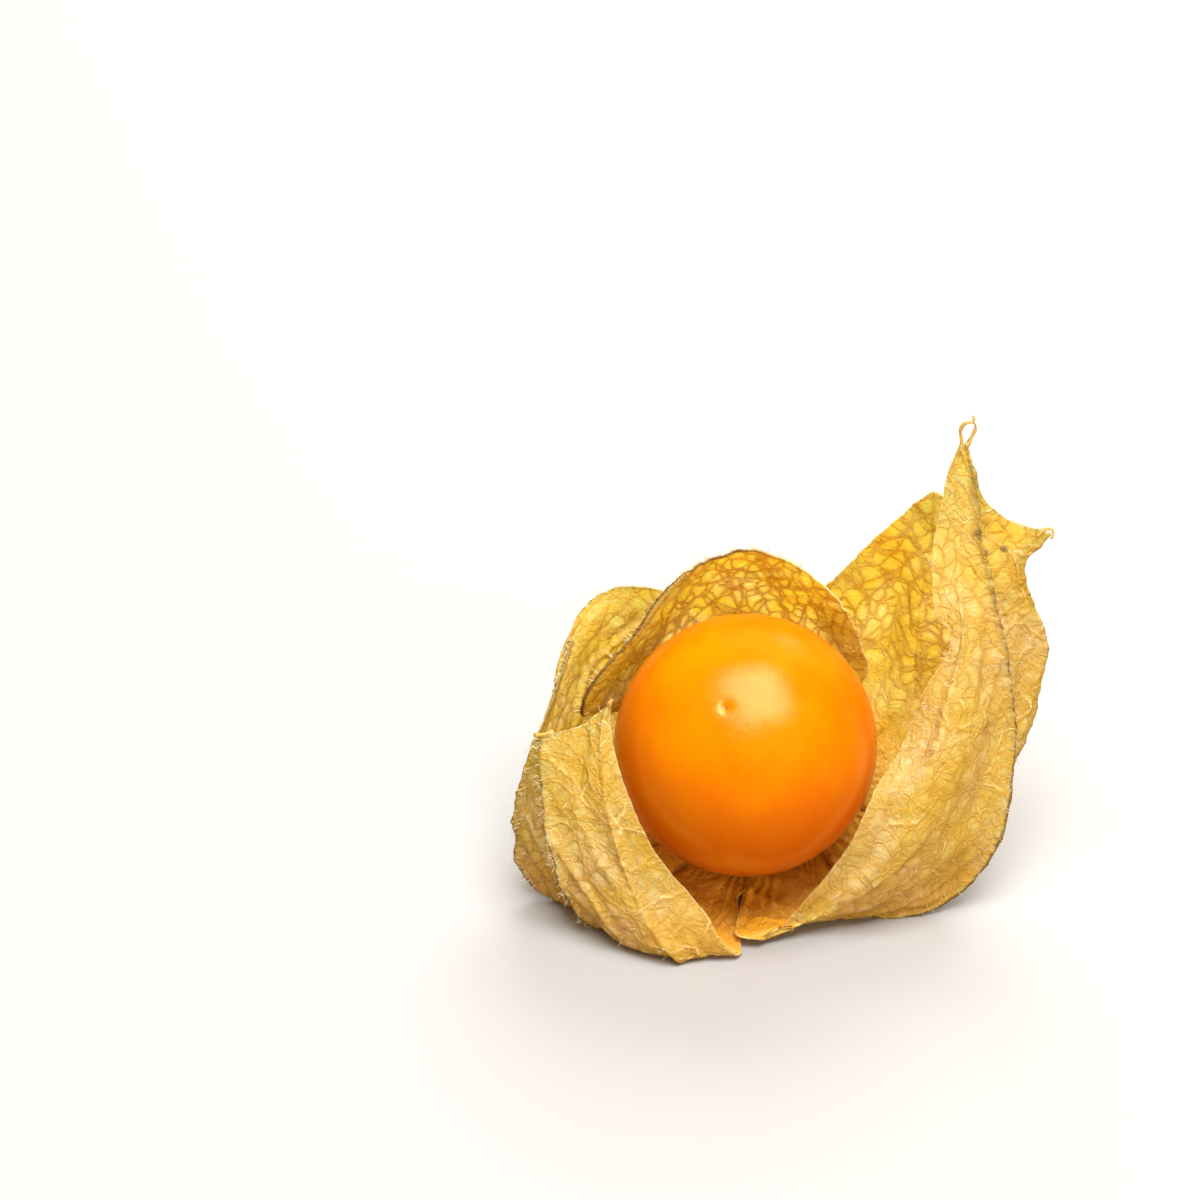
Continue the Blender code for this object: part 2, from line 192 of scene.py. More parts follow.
rightTent = [
    (52, 0.0, 0.0, [(7.2, 10.4, -3.2), (8.6, 12.6, -0.8), (7.6, 13.7, 2.4), (5.6, 13.6, 5.2)]),
    (40, 0.0, 0.0, [(9.0, 9.4, -3.6), (11.4, 12.0, 0.6), (11.8, 13.4, 6.0), (11.0, 13.1, 11.6)]),
    (27, 0.6, 0.6, [(10.2, 7.8, -4.6), (12.6, 9.0, -1.0), (13.4, 11.0, 4.6), (14.0, 12.2, 8.8),
                    (14.4, 12.9, 14.8)]),
    (8, 0.2, 0.0, [(11.6, 5.2, -5.8), (17.0, 5.8, -4.6), (19.8, 6.4, 0.4), (20.4, 7.8, 5.6),
                   (19.8, 9.2, 10.2), (18.6, 10.2, 13.4)]),
    (-15, 0.5, 0.8, [(11.4, 2.4, -8.2), (16.6, 2.0, -7.8), (20.4, 2.4, -3.2), (22.2, 3.4, 2.6),
                     (22.6, 4.6, 6.4), (21.6, 5.4, 9.4), (20.9, 5.9, 12.2), (22.9, 6.6, 14.9)]),
    (-31, 0.0, 0.0, [(10.4, -0.2, -10.2), (15.2, -1.0, -10.0), (19.4, -0.4, -6.0), (21.2, 1.8, 0.2),
                     (21.0, 3.2, 4.6), (19.8, 4.6, 9.6), (19.5, 6.0, 13.2), (20.2, 7.0, 15.6)]),
    (-40, 0.0, 0.0, [(9.2, -1.4, -11.4), (12.8, -3.0, -11.5), (17.2, -2.2, -9.2), (20.0, -0.4, -3.6),
                     (20.6, 2.2, 2.6), (19.6, 4.0, 8.4), (18.4, 5.6, 13.4), (17.9, 7.2, 17.5)]),
    (-48, 0.8, 1.0, [(7.8, -2.2, -12.0), (10.2, -5.0, -12.3), (13.4, -4.7, -12.1), (16.4, -3.7, -10.6),
                     (18.6, -2.7, -7.8), (19.7, -1.4, -4.4), (20.2, 0.9, 0.2), (19.8, 2.1, 4.0),
                     (18.6, 4.0, 10.2), (17.6, 5.6, 14.4), (17.3, 7.2, 18.0), (16.35, 9.0, 21.3)]),
    (-68, 0.0, 0.0, [(4.9, -2.8, -12.2), (7.2, -6.2, -12.1), (9.8, -7.6, -8.6), (12.4, -6.8, -4.6),
                     (14.4, -4.6, -0.4), (15.6, -1.8, 4.0), (16.3, 1.2, 8.6), (15.8, 4.0, 12.8),
                     (15.6, 6.2, 17.0), (16.2, 8.9, 21.2)]),
    (-90, 0.0, 0.0, [(0.2, -2.2, -12.2), (-0.6, -6.0, -12.0), (-0.7, -8.9, -11.6), (1.1, -8.9, -11.7),
                     (2.9, -7.8, -10.9), (5.4, -7.0, -8.0), (7.7, -6.4, -4.8), (9.2, -5.0, -1.7),
                     (11.4, -1.6, 0.5), (13.4, 0.6, 4.6), (15.2, 2.1, 8.2), (14.1, 3.2, 9.9),
                     (13.9, 4.6, 13.0), (14.3, 6.2, 16.4), (15.0, 7.8, 19.2), (16.0, 8.8, 21.2)]),
]
sectors = [leftFlap, backArch, rightTent]
# How dark and olive each rim is, by degrees round the axis: old rims are ribs, fresh tears are pale.
rimTones = [((146, 0.6), (184, 0.9), (221, 0.9), (240, 0.1)), ((60, 0.0), (84, 0.5), (105, 1.0)),
            ((-80, 0.0), (-48, 0.5), (-10, 0.6), (20, 0.3), (40, 0.2))]


def acrossAxis():
    side = np.array([1.0, 0.0, 0.0])
    side -= fruitAxis * side.dot(fruitAxis)
    side /= np.linalg.norm(side)
    return side, np.cross(fruitAxis, side)


def onBowl(direction, polar, distance):
    side, up = acrossAxis()
    around = math.cos(direction) * side + math.sin(direction) * up
    return distance * (math.sin(polar) * around - math.cos(polar) * fruitAxis)


def smoothCurve(control, count):
    # even steps along a centripetal Catmull-Rom curve
    inner = np.array(control, dtype=float)
    ends = np.vstack([2 * inner[0] - inner[1], inner, 2 * inner[-1] - inner[-2]])
    dense = []
    for first in range(len(inner) - 1):
        a, b, c, d = ends[first:first + 4]
        tB = np.linalg.norm(b - a) ** 0.5
        tC = tB + np.linalg.norm(c - b) ** 0.5
        tD = tC + np.linalg.norm(d - c) ** 0.5
        t = np.linspace(tB, tC, 30, endpoint=False)[:, None]
        ab = a + (b - a) * t / tB
        bc = b + (c - b) * (t - tB) / (tC - tB)
        cd = c + (d - c) * (t - tC) / (tD - tC)
        abc = ab + (bc - ab) * t / tC
        bcd = bc + (cd - bc) * (t - tB) / (tD - tB)
        dense.append(abc + (bcd - abc) * (t - tB) / (tC - tB))
    dense = np.vstack(dense + [inner[-1:]])
    along = np.concatenate([[0.0], np.cumsum(np.linalg.norm(np.diff(dense, axis=0), axis=1))])
    steps = np.linspace(0.0, along[-1], count)
    return np.column_stack([np.interp(steps, along, dense[:, k]) for k in range(3)])


def meridianCurve(meridian):
    degrees, _, _, points = meridian
    direction = math.radians(degrees)
    ringPolar = math.asin(husk["ringRadius"] / husk["ringDistance"])
    start = [onBowl(direction, ringPolar, husk["ringDistance"]),
             onBowl(direction, math.radians(husk["bowlAngle"]), husk["bowlRadius"])]
    return smoothCurve(start + points, husk["rows"])


def closeTears(curves):
    for index, (tearStart, tearOpening) in enumerate(zip(husk["tears"], husk["tearOpening"])):
        left = curves[index][-1]
        right = curves[(index + 1) % len(curves)][0]
        opening = np.clip((np.linspace(0, 1, len(left)) - tearStart) / tearOpening, 0, 1)[:, None]
        opening = opening ** 2 * (3 - 2 * opening)
        middle = (left + right) / 2
        left[:] = middle + (left - middle) * opening
        right[:] = middle + (right - middle) * opening


def acrossPanels(curves, folds, counts):
    # Hermite steps between meridians, smooth across each one or sharply folded along it
    steps = np.diff(curves, axis=0)
    spans = np.linalg.norm(steps, axis=2, keepdims=True) + 1e-6
    last = len(curves) - 1
    columns = []
    for panel in range(last):
        before, after = max(panel - 1, 0), min(panel + 1, last - 1)
        smoothStart = (curves[panel + 1] - curves[before]) / (spans[panel] + spans[before] * (panel > 0))
        smoothEnd = (curves[after + 1] - curves[panel]) / (spans[panel] + spans[after] * (panel + 1 < last))
        straight = steps[panel] / spans[panel]
        start = spans[panel] * (smoothStart + (straight - smoothStart) * folds[panel])
        end = spans[panel] * (smoothEnd + (straight - smoothEnd) * folds[panel + 1])
        for s in np.arange(counts[panel]) / counts[panel]:
            columns.append((2 * s ** 3 - 3 * s ** 2 + 1) * curves[panel] + (s ** 3 - 2 * s ** 2 + s) * start
                           + (3 * s ** 2 - 2 * s ** 3) * curves[panel + 1] + (s ** 3 - s ** 2) * end)
    columns.append(curves[-1])
    return np.array(columns).transpose(1, 0, 2)


def keepClear(points):
    # out of the berry and up off the surface
    nearest = berryRadius + husk["clearance"] + husk["thickness"] / 2
    distance = np.linalg.norm(points, axis=-1, keepdims=True)
    points = points * np.maximum(nearest / distance, 1.0)
    points[..., 2] = np.maximum(points[..., 2], husk["thickness"] / 2 - restHeight)
    return points


def arcs(grid, axis):
    lengths = np.linalg.norm(np.diff(grid, axis=axis), axis=2)
    first = np.zeros_like(np.take(lengths, [0], axis=axis))
    return np.cumsum(np.concatenate([first, lengths], axis=axis), axis=axis)


def slide(grid, arc, low, high):
    # slides each line of points along itself so that it starts and ends a little way in, in mm
    moved = np.empty_like(grid)
    for line in range(len(grid)):
        steps = low[line] + arc[line] * (arc[line, -1] - low[line] - high[line]) / arc[line, -1]
        for k in range(3):
            moved[line, :, k] = np.interp(steps, arc[line], grid[line, :, k])
    return moved


def notches(count, seed):
    # how far, in mm, a torn edge is eaten away along its length
    steps = np.arange(count) * husk["notchStep"]
    coarse = np.array([noise.noise((step, seed, 0.0)) for step in steps])
    small = np.array([noise.noise((step * 3.7, seed, 7.0)) for step in steps])
    return husk["notchDepth"] * np.maximum(0.35 + 0.8 * coarse + 0.4 * small, 0.0)


def sectorSheet(index):
    # one sector's points with what the relief and the finish need to know about each of them
    sector = sectors[index]
    curves = allCurves[index]
    directions, folds, ribStrengths, _ = zip(*sector)
    widths = np.linalg.norm(np.diff(curves, axis=0), axis=2).mean(axis=1)
    counts = np.maximum(np.round(husk["columns"][index] * widths / widths.sum()), 4).astype(int)
    grid = keepClear(acrossPanels(curves, folds, counts))
    rows, columns = grid.shape[:2]
    ribColumns = np.concatenate([[0], np.cumsum(counts)])
    t = np.linspace(0, 1, rows)
    tears = [husk["tears"][index - 1], husk["tears"][index]]
    # torn edges are eaten into, more so near the rim
    grid = slide(grid.transpose(1, 0, 2), arcs(grid, 0).T, np.zeros(columns),
                 notches(columns, 10.0 * index)).transpose(1, 0, 2)
    aboveTear = [np.clip((t - tear) / 0.1, 0, 1) for tear in tears]
    grid = keepClear(slide(grid, arcs(grid, 1), notches(rows, 10.0 * index + 3) * aboveTear[0],
                           notches(rows, 10.0 * index + 4) * aboveTear[1]))
    across, along = arcs(grid, 1), arcs(grid, 0)
    ribs = np.zeros((rows, columns))
    keel = np.zeros((rows, columns))
    nearestRib = np.full((rows, columns), 9.0)
    widening = 1.25 - 0.55 * t[:, None]
    for column, strength in zip(ribColumns, ribStrengths):
        if strength:
            distance = np.abs(across - across[:, [column]])
            profile = np.exp(-(distance / (husk["ribWidth"] * widening)) ** 2)
            ribs = np.maximum(ribs, strength * widening * profile)
            keel = np.maximum(keel, strength * np.exp(-distance / husk["keelWidth"]))
            nearestRib = np.minimum(nearestRib, distance)
    # below the tears a side is no edge, and counts as far away
    fromLeft = across + 99.0 * (t < tears[0] + 0.03)[:, None]
    fromRight = across[:, -1:] - across + 99.0 * (t < tears[1] + 0.03)[:, None]
    edge = np.minimum(np.minimum(fromLeft, fromRight), along[-1:] - along)
    outward = np.cross(np.gradient(grid, axis=1), np.gradient(grid, axis=0))
    outward /= np.linalg.norm(outward, axis=2, keepdims=True) + 1e-12
    if (outward[8] * grid[8]).sum() < 0:
        outward = -outward
    calm = np.clip((np.linalg.norm(grid, axis=2) - berryRadius - 0.2) / husk["calmEdge"], 0.15, 1)
    around = np.interp(np.arange(columns), ribColumns, directions)
    # the sheet is gathered round the stalk, and further out where it lies in front of the berry
    front = np.clip((around - 246) / 8, 0, 1) + np.clip((-72 - around) / 10, 0, 1)
    gathered = np.maximum(np.clip((10 - along) / 5, 0, 1), front * np.clip((19 - along) / 4, 0, 1))
    whole = np.ones((rows, columns))
    points = {"grid": grid, "outward": outward, "ribs": ribs, "keel": keel, "nearestRib": nearestRib,
              "along": along, "across": across, "gathered": gathered, "edge": np.minimum(edge, 9.0),
              "calm": calm, "around": around * whole,
              "rimTone": np.interp(around, *zip(*rimTones[index])) * whole,
              "rimward": t[:, None] * whole, "sector": 40.0 * index * whole}
    return points, ribColumns


def joinSectors(sheets):
    # where sectors meet below a tear, both edges bend the same way
    t = np.linspace(0, 1, husk["rows"])
    for index, tearStart in enumerate(husk["tears"]):
        left, right = sheets[index], sheets[(index + 1) % len(sheets)]
        closed = t < tearStart
        both = left["outward"][closed, -1] + right["outward"][closed, 0]
        both /= np.linalg.norm(both, axis=1, keepdims=True)
        left["outward"][closed, -1] = both
        right["outward"][closed, 0] = both
        for key in ("ribs", "keel", "nearestRib", "calm"):
            mean = (left[key][closed, -1] + right[key][closed, 0]) / 2
            left[key][closed, -1] = mean
            right[key][closed, 0] = mean


def linkPiece(name, mesh):
    mesh.shade_smooth()
    piece = bpy.data.objects.new(name, mesh)
    bpy.context.scene.collection.objects.link(piece)
    return piece


def buildSheet(name, sheet, firstColumn, lastColumn):
    # a closed thin shell: the outer layer, the inner layer, and a narrow face round the edge
    part = {key: values[:, firstColumn:lastColumn + 1] for key, values in sheet.items()}
    flat, normal = part.pop("grid"), part.pop("outward")
    rows, columns = flat.shape[:2]
    count = rows * columns
    number = np.arange(count).reshape(rows, columns)
    a, b, c, d = number[:-1, :-1], number[:-1, 1:], number[1:, 1:], number[1:, :-1]
    quads = np.stack([a, b, c, d], axis=-1).reshape(-1, 4)
    flat, normal = flat.reshape(-1, 3), normal.reshape(-1, 3)
    loop = np.concatenate([number[0, :-1], number[:-1, -1], number[-1, :0:-1], number[:0:-1, 0]])
    following = np.roll(loop, -1)
    rim = np.stack([following, loop, loop + count, following + count], axis=-1)
    face = quads[len(quads) // 2]
    if np.cross(flat[face[1]] - flat[face[0]], flat[face[3]] - flat[face[0]]).dot(normal[face[0]]) < 0:
        quads, rim = quads[:, ::-1], rim[:, ::-1]
    faces = np.concatenate([quads, quads[:, ::-1] + count, rim])
    mesh = bpy.data.meshes.new(name)
    mesh.vertices.add(count * 2)
    mesh.vertices.foreach_set("co", (np.tile(flat, (2, 1)) * mm + berryMiddle).astype(np.float32).ravel())
    mesh.loops.add(len(faces) * 4)
    mesh.loops.foreach_set("vertex_index", faces.astype(np.int32).ravel())
    mesh.polygons.add(len(faces))
    mesh.polygons.foreach_set("loop_start", np.arange(0, len(faces) * 4, 4, dtype=np.int32))
    mesh.update(calc_edges=True)
    sides = np.repeat([0, 1, 0], [len(quads), len(quads), len(rim)])
    mesh.polygons.foreach_set("material_index", sides.astype(np.int32))
    numbers = {key: np.tile(values.ravel(), 2) for key, values in part.items()}
    numbers["layer"] = np.repeat([0.5, -0.5], count)
    for key, values in numbers.items():
        mesh.attributes.new(key, "FLOAT", "POINT").data.foreach_set("value", values.astype(np.float32))
    for key, vectors in (("outward", normal), ("sheetPlace", flat)):
        values = np.tile(vectors, (2, 1)).astype(np.float32).ravel()
        mesh.attributes.new(key, "FLOAT_VECTOR", "POINT").data.foreach_set("vector", values)
    return linkPiece(name, mesh)


def veinNet(tree, place, nearestRib, along):
    # one net drives both the relief and the colours
    wander = addNode(tree, "ShaderNodeTexNoise",
                     {"Vector": place, "Scale": 1 / venation["wanderSize"], "Detail": 2.0})
    strays = (wander.node.outputs["Color"], (2 * venation["wander"],) * 3, place)
    strayed = addNode(tree, "ShaderNodeVectorMath", strays, operation="MULTIPLY_ADD")
    toVein = {}
    for size, shift in (("cell", 0.0), ("fineCell", 0.0), ("bigCell", 1.9)):
        shifted = addNode(tree, "ShaderNodeVectorMath", (strayed, (shift, 2 * shift, shift)), operation="ADD")
        toEdge = addNode(tree, "ShaderNodeTexVoronoi", {"Vector": shifted, "Scale": 1 / venation[size]},
                         feature="DISTANCE_TO_EDGE")
        toVein[size] = addNode(tree, "ShaderNodeMath", (toEdge, venation[size]), operation="MULTIPLY")
    # side veins climb away from the ribs and lose themselves in the net
    climb = weightedSum(tree, (along, 1 / venation["sideVeins"]),
                        (nearestRib, -venation["sideSlope"] / venation["sideVeins"]), (wander, 1.1))
    turned = addNode(tree, "ShaderNodeMath", (climb, 0.5), operation="PINGPONG")
    lost = addNode(tree, "ShaderNodeMapRange", (nearestRib, 1.5, 5.0), **smoothStep)
    sideVein = weightedSum(tree, (turned, venation["sideVeins"] * 0.75), (lost, 0.25))
    faint = addNode(tree, "ShaderNodeMapRange", (wander, 0.45, 0.62), **smoothStep)
    bigVein = weightedSum(tree, (toVein["bigCell"], 1.0), (faint, 0.07))
    narrow = (venation["veinWidth"] * 0.5, venation["veinWidth"] * 2, 1.0, 0.0)
    wide = (venation["bigVeinWidth"] * 0.5, venation["bigVeinWidth"] * 2, 1.0, 0.0)
    small = addNode(tree, "ShaderNodeMapRange", (toVein["cell"], *narrow), **smoothStep)
    main = addNode(tree, "ShaderNodeMapRange", (bigVein, *wide), **smoothStep)
    branch = addNode(tree, "ShaderNodeMapRange", (sideVein, *wide), **smoothStep)
    large = addNode(tree, "ShaderNodeMath", (main, branch), operation="MAXIMUM")
    # the band along big veins where a painted highlight goes
    veinHighlight = addNode(tree, "ShaderNodeMapRange", (bigVein, 0.02, 0.09, 1.0, 0.0), **smoothStep)
    puff = addNode(tree, "ShaderNodeMapRange", (toVein["cell"], 0.0, 0.45 * venation["cell"]), **smoothStep)
    fine = addNode(tree, "ShaderNodeMapRange", (toVein["fineCell"], 0.02, 0.12, 1.0, 0.0), **smoothStep)
    return small, large, veinHighlight, puff, fine


def foldLines(tree, place, size, distortion=0.0):
    # 0 along the bottom of each fold, and more to both sides of it
    swell = addNode(tree, "ShaderNodeTexNoise",
                    {"Vector": place, "Scale": 1 / size, "Detail": 1.0, "Distortion": distortion})
    middle = addNode(tree, "ShaderNodeMath", (swell, 0.5), operation="SUBTRACT")
    return addNode(tree, "ShaderNodeMath", [middle], operation="ABSOLUTE")


def pleatPattern(tree, place, around):
    # 1 on a pleat's crest, 0 between pleats
    stray = addNode(tree, "ShaderNodeTexNoise",
                    {"Vector": place, "Scale": 1 / husk["pleatStray"], "Detail": 2.0})
    turns = weightedSum(tree, (around, 1 / husk["pleatAngle"]), (stray, 3.0))
    folded = addNode(tree, "ShaderNodeMath", (turns, 0.5), operation="PINGPONG")
    return addNode(tree, "ShaderNodeMath", (folded, 2.0), operation="MULTIPLY")


def reliefTree():
    tree = bpy.data.node_groups.new("calyxRelief", "GeometryNodeTree")
    for way in ("INPUT", "OUTPUT"):
        tree.interface.new_socket("Geometry", in_out=way, socket_type="NodeSocketGeometry")
    sheet = addNode(tree, "NodeGroupInput")
    result = tree.nodes.new("NodeGroupOutput")

    def read(name, kind="FLOAT"):
        node = addNode(tree, "GeometryNodeInputNamedAttribute", {"Name": name}, data_type=kind).node
        return next(socket for socket in node.outputs if socket.enabled and socket.name == "Attribute")

    place, along, layer = read("sheetPlace", "FLOAT_VECTOR"), read("along"), read("layer")
    small, large, _, puff, _ = veinNet(tree, place, read("nearestRib"), along)
    swell = addNode(tree, "ShaderNodeTexNoise",
                    {"Vector": place, "Scale": 1 / husk["crumpleSize"], "Detail": 1.0})
    slow = addNode(tree, "ShaderNodeMath", (swell, 0.5), operation="SUBTRACT")
    crease = foldLines(tree, place, husk["creaseSize"], 0.8)
    wrinkle = foldLines(tree, place, husk["wrinkleSize"], 0.6)
    stretched = addNode(tree, "ShaderNodeMath", (along, husk["fluteStretch"]), operation="MULTIPLY")
    lengthways = addNode(tree, "ShaderNodeCombineXYZ", (read("across"), stretched, read("sector")))
    flute = foldLines(tree, lengthways, husk["fluteWidth"])
    # pleats come and go along the gathered paper
    patches = addNode(tree, "ShaderNodeTexNoise",
                      {"Vector": place, "Scale": 1 / husk["pleatPatch"], "Detail": 1.0})
    share = addNode(tree, "ShaderNodeMapRange", (patches, 0.38, 0.6, 0.25, 1.0), **smoothStep)
    pleated = addNode(tree, "ShaderNodeMath", (read("gathered"), share), operation="MULTIPLY")
    pleats = pleatPattern(tree, place, read("around"))
    pleat = addNode(tree, "ShaderNodeMath", (pleats, pleated), operation="MULTIPLY")
    keel = addNode(tree, "ShaderNodeMath", (read("keel"), 0.55), operation="SUBTRACT")
    loose = weightedSum(tree, (slow, husk["crumple"]), (crease, -4 * husk["crease"]),
                        (wrinkle, -4 * husk["wrinkle"]), (flute, -5 * husk["flute"]), (pleat, husk["pleat"]),
                        (keel, husk["keelHeight"]))
    # the folds die down towards the berry and the rims, so that rims run smooth
    fromRim = addNode(tree, "ShaderNodeMapRange", (read("edge"), 0.0, husk["calmEdge"], 0.45, 1.0),
                      **smoothStep)
    calm = addNode(tree, "ShaderNodeMath", (read("calm"), fromRim), operation="MULTIPLY")
    calmed = addNode(tree, "ShaderNodeMath", (loose, calm), operation="MULTIPLY")
    height = weightedSum(tree, (calmed, 1.0), (small, husk["veinHeight"] * 0.45), (large, husk["veinHeight"]),
                         (puff, husk["cellPuff"]), (read("ribs"), husk["ribHeight"]),
                         (layer, husk["thickness"]))
    rise = addNode(tree, "ShaderNodeMath", (height, mm), operation="MULTIPLY")
    offset = addNode(tree, "ShaderNodeVectorMath", {0: read("outward", "FLOAT_VECTOR"), "Scale": rise},
                     operation="SCALE")
    position = addNode(tree, "GeometryNodeInputPosition")
    moved = addNode(tree, "ShaderNodeVectorMath", (offset, position), operation="ADD")
    # nothing goes under the surface, and the inner layer stays above the outer one there
    floorGap = (husk["thickness"] / 2 + husk["offSurface"]) * mm
    lowest = addNode(tree, "ShaderNodeMath", (layer, -husk["thickness"] * mm, floorGap),
                     operation="MULTIPLY_ADD")
    parts = addNode(tree, "ShaderNodeSeparateXYZ", [moved]).node.outputs
    lifted = addNode(tree, "ShaderNodeMath", (parts["Z"], lowest), operation="MAXIMUM")
    settled = addNode(tree, "ShaderNodeCombineXYZ", (parts["X"], parts["Y"], lifted))
    placed = addNode(tree, "GeometryNodeSetPosition", {"Geometry": sheet, "Position": settled})
    tree.links.new(placed, result.inputs[0])
    return tree


def applyRelief(piece, tree):
    modifier = piece.modifiers.new("relief", "NODES")
    modifier.node_group = tree
    bpy.context.view_layer.update()
    shaped = bpy.data.meshes.new_from_object(piece.evaluated_get(bpy.context.evaluated_depsgraph_get()))
    piece.modifiers.clear()
    piece.data = shaped


paper = {
    "amber": "#E6CC4C", "straw": "#EFE68E", "pale": "#F8F4CC",      # the film between veins
    # the pale vein colour is a painted highlight on raised veins
    "vein": "#BE9020", "veinHighlight": "#FAE7A0", "rib": "#6E5022", "edge": "#F6E6B4",
    "green": "#C8CA74",       # what is left of the leaf's green towards the rim
    "paintedBounce": "#EA9C12",      # painted glow of bounced light, where the sheet is gathered and at the bottom inside
    "inside": "#FFF7DA",      # the tint that the inner side adds
    "roughness": 0.42,
    "through": 0.72,          # how much of the light goes through the film rather than back
    "patchSize": 4.5,         # mm, the slow changes of colour
    "fibreSize": 0.3,         # mm, coarser than the real 0.02 so that fibres show
    "frayed": 0.5,            # mm, how finely ribs and specks are broken up
    "highlightPatches": 1.7,            # mm, the stretches of vein that get a painted pale highlight
    "grain": 0.14,            # mm that the fibres and the small veins stand out in the bump
}
# Brown specks near the side tooth: where they are from the berry's middle and their radius, in mm.
specks = [((17.4, 5.9, 15.1), 0.36), ((19.5, 6.2, 13.6), 0.3), ((18.1, 5.6, 13.6), 0.22)]


def filmColour(tree, read, patches, fibres, puff, fine):
    # the film between veins: amber to pale straw, greener towards the rim and darker in the finest meshes
    mottle = weightedSum(tree, (patches, 0.8), (fibres, 0.2))
    film = addNode(tree, "ShaderNodeValToRGB", [mottle])
    setStops(film.node.color_ramp, [(0.32, paper["amber"]), (0.46, paper["straw"]), (0.62, paper["pale"])])
    rimward = addNode(tree, "ShaderNodeMapRange", (read("rimward"), 0.72, 1.0, 0.0, 0.75), **smoothStep)
    greener = addNode(tree, "ShaderNodeMapRange", (patches, 0.38, 0.58), **smoothStep)
    green = addNode(tree, "ShaderNodeMath", (rimward, greener), operation="MULTIPLY")
    tinted = addNode(tree, "ShaderNodeMix", {0: green, 6: film, 7: srgb(paper["green"])}, **colourMix)
    thick = addNode(tree, "ShaderNodeMath", (1.0, puff), operation="SUBTRACT")
    deepened = weightedSum(tree, (fine, 0.25), (thick, 0.4))
    return addNode(tree, "ShaderNodeMix", {0: deepened, 6: tinted, 7: srgb(paper["amber"])}, **colourMix)


def darkShare(tree, read, place, strength):
    # ribs, old rims and the brown specks, all frayed by the same pattern
    frayed = addNode(tree, "ShaderNodeTexNoise",
                     {"Vector": place, "Scale": 1 / paper["frayed"], "Detail": 2.0})
    broken = weightedSum(tree, (read("ribs"), 1.0), (frayed, -0.7), (1.0, 0.35))
    ribbed = addNode(tree, "ShaderNodeMapRange", (broken, 0.5, 0.85, 0.0, strength), **smoothStep)
    rim = addNode(tree, "ShaderNodeMapRange", (read("edge"), 0.05, 0.26, 1.0, 0.0), **smoothStep)
    oldRim = addNode(tree, "ShaderNodeMath", (rim, read("rimTone")), operation="MULTIPLY")
    dark = addNode(tree, "ShaderNodeMath", (ribbed, oldRim), operation="MAXIMUM")
    for centre, radius in specks:
        distance = addNode(tree, "ShaderNodeVectorMath", (place, centre), output="Value",
                           operation="DISTANCE")
        ragged = weightedSum(tree, (distance, 1.0), (frayed, 0.4))
        speck = addNode(tree, "ShaderNodeMapRange", (ragged, radius + 0.1, radius + 0.35, 0.8, 0.0),
                        **smoothStep)
        dark = addNode(tree, "ShaderNodeMath", (dark, speck), operation="MAXIMUM")
    return dark


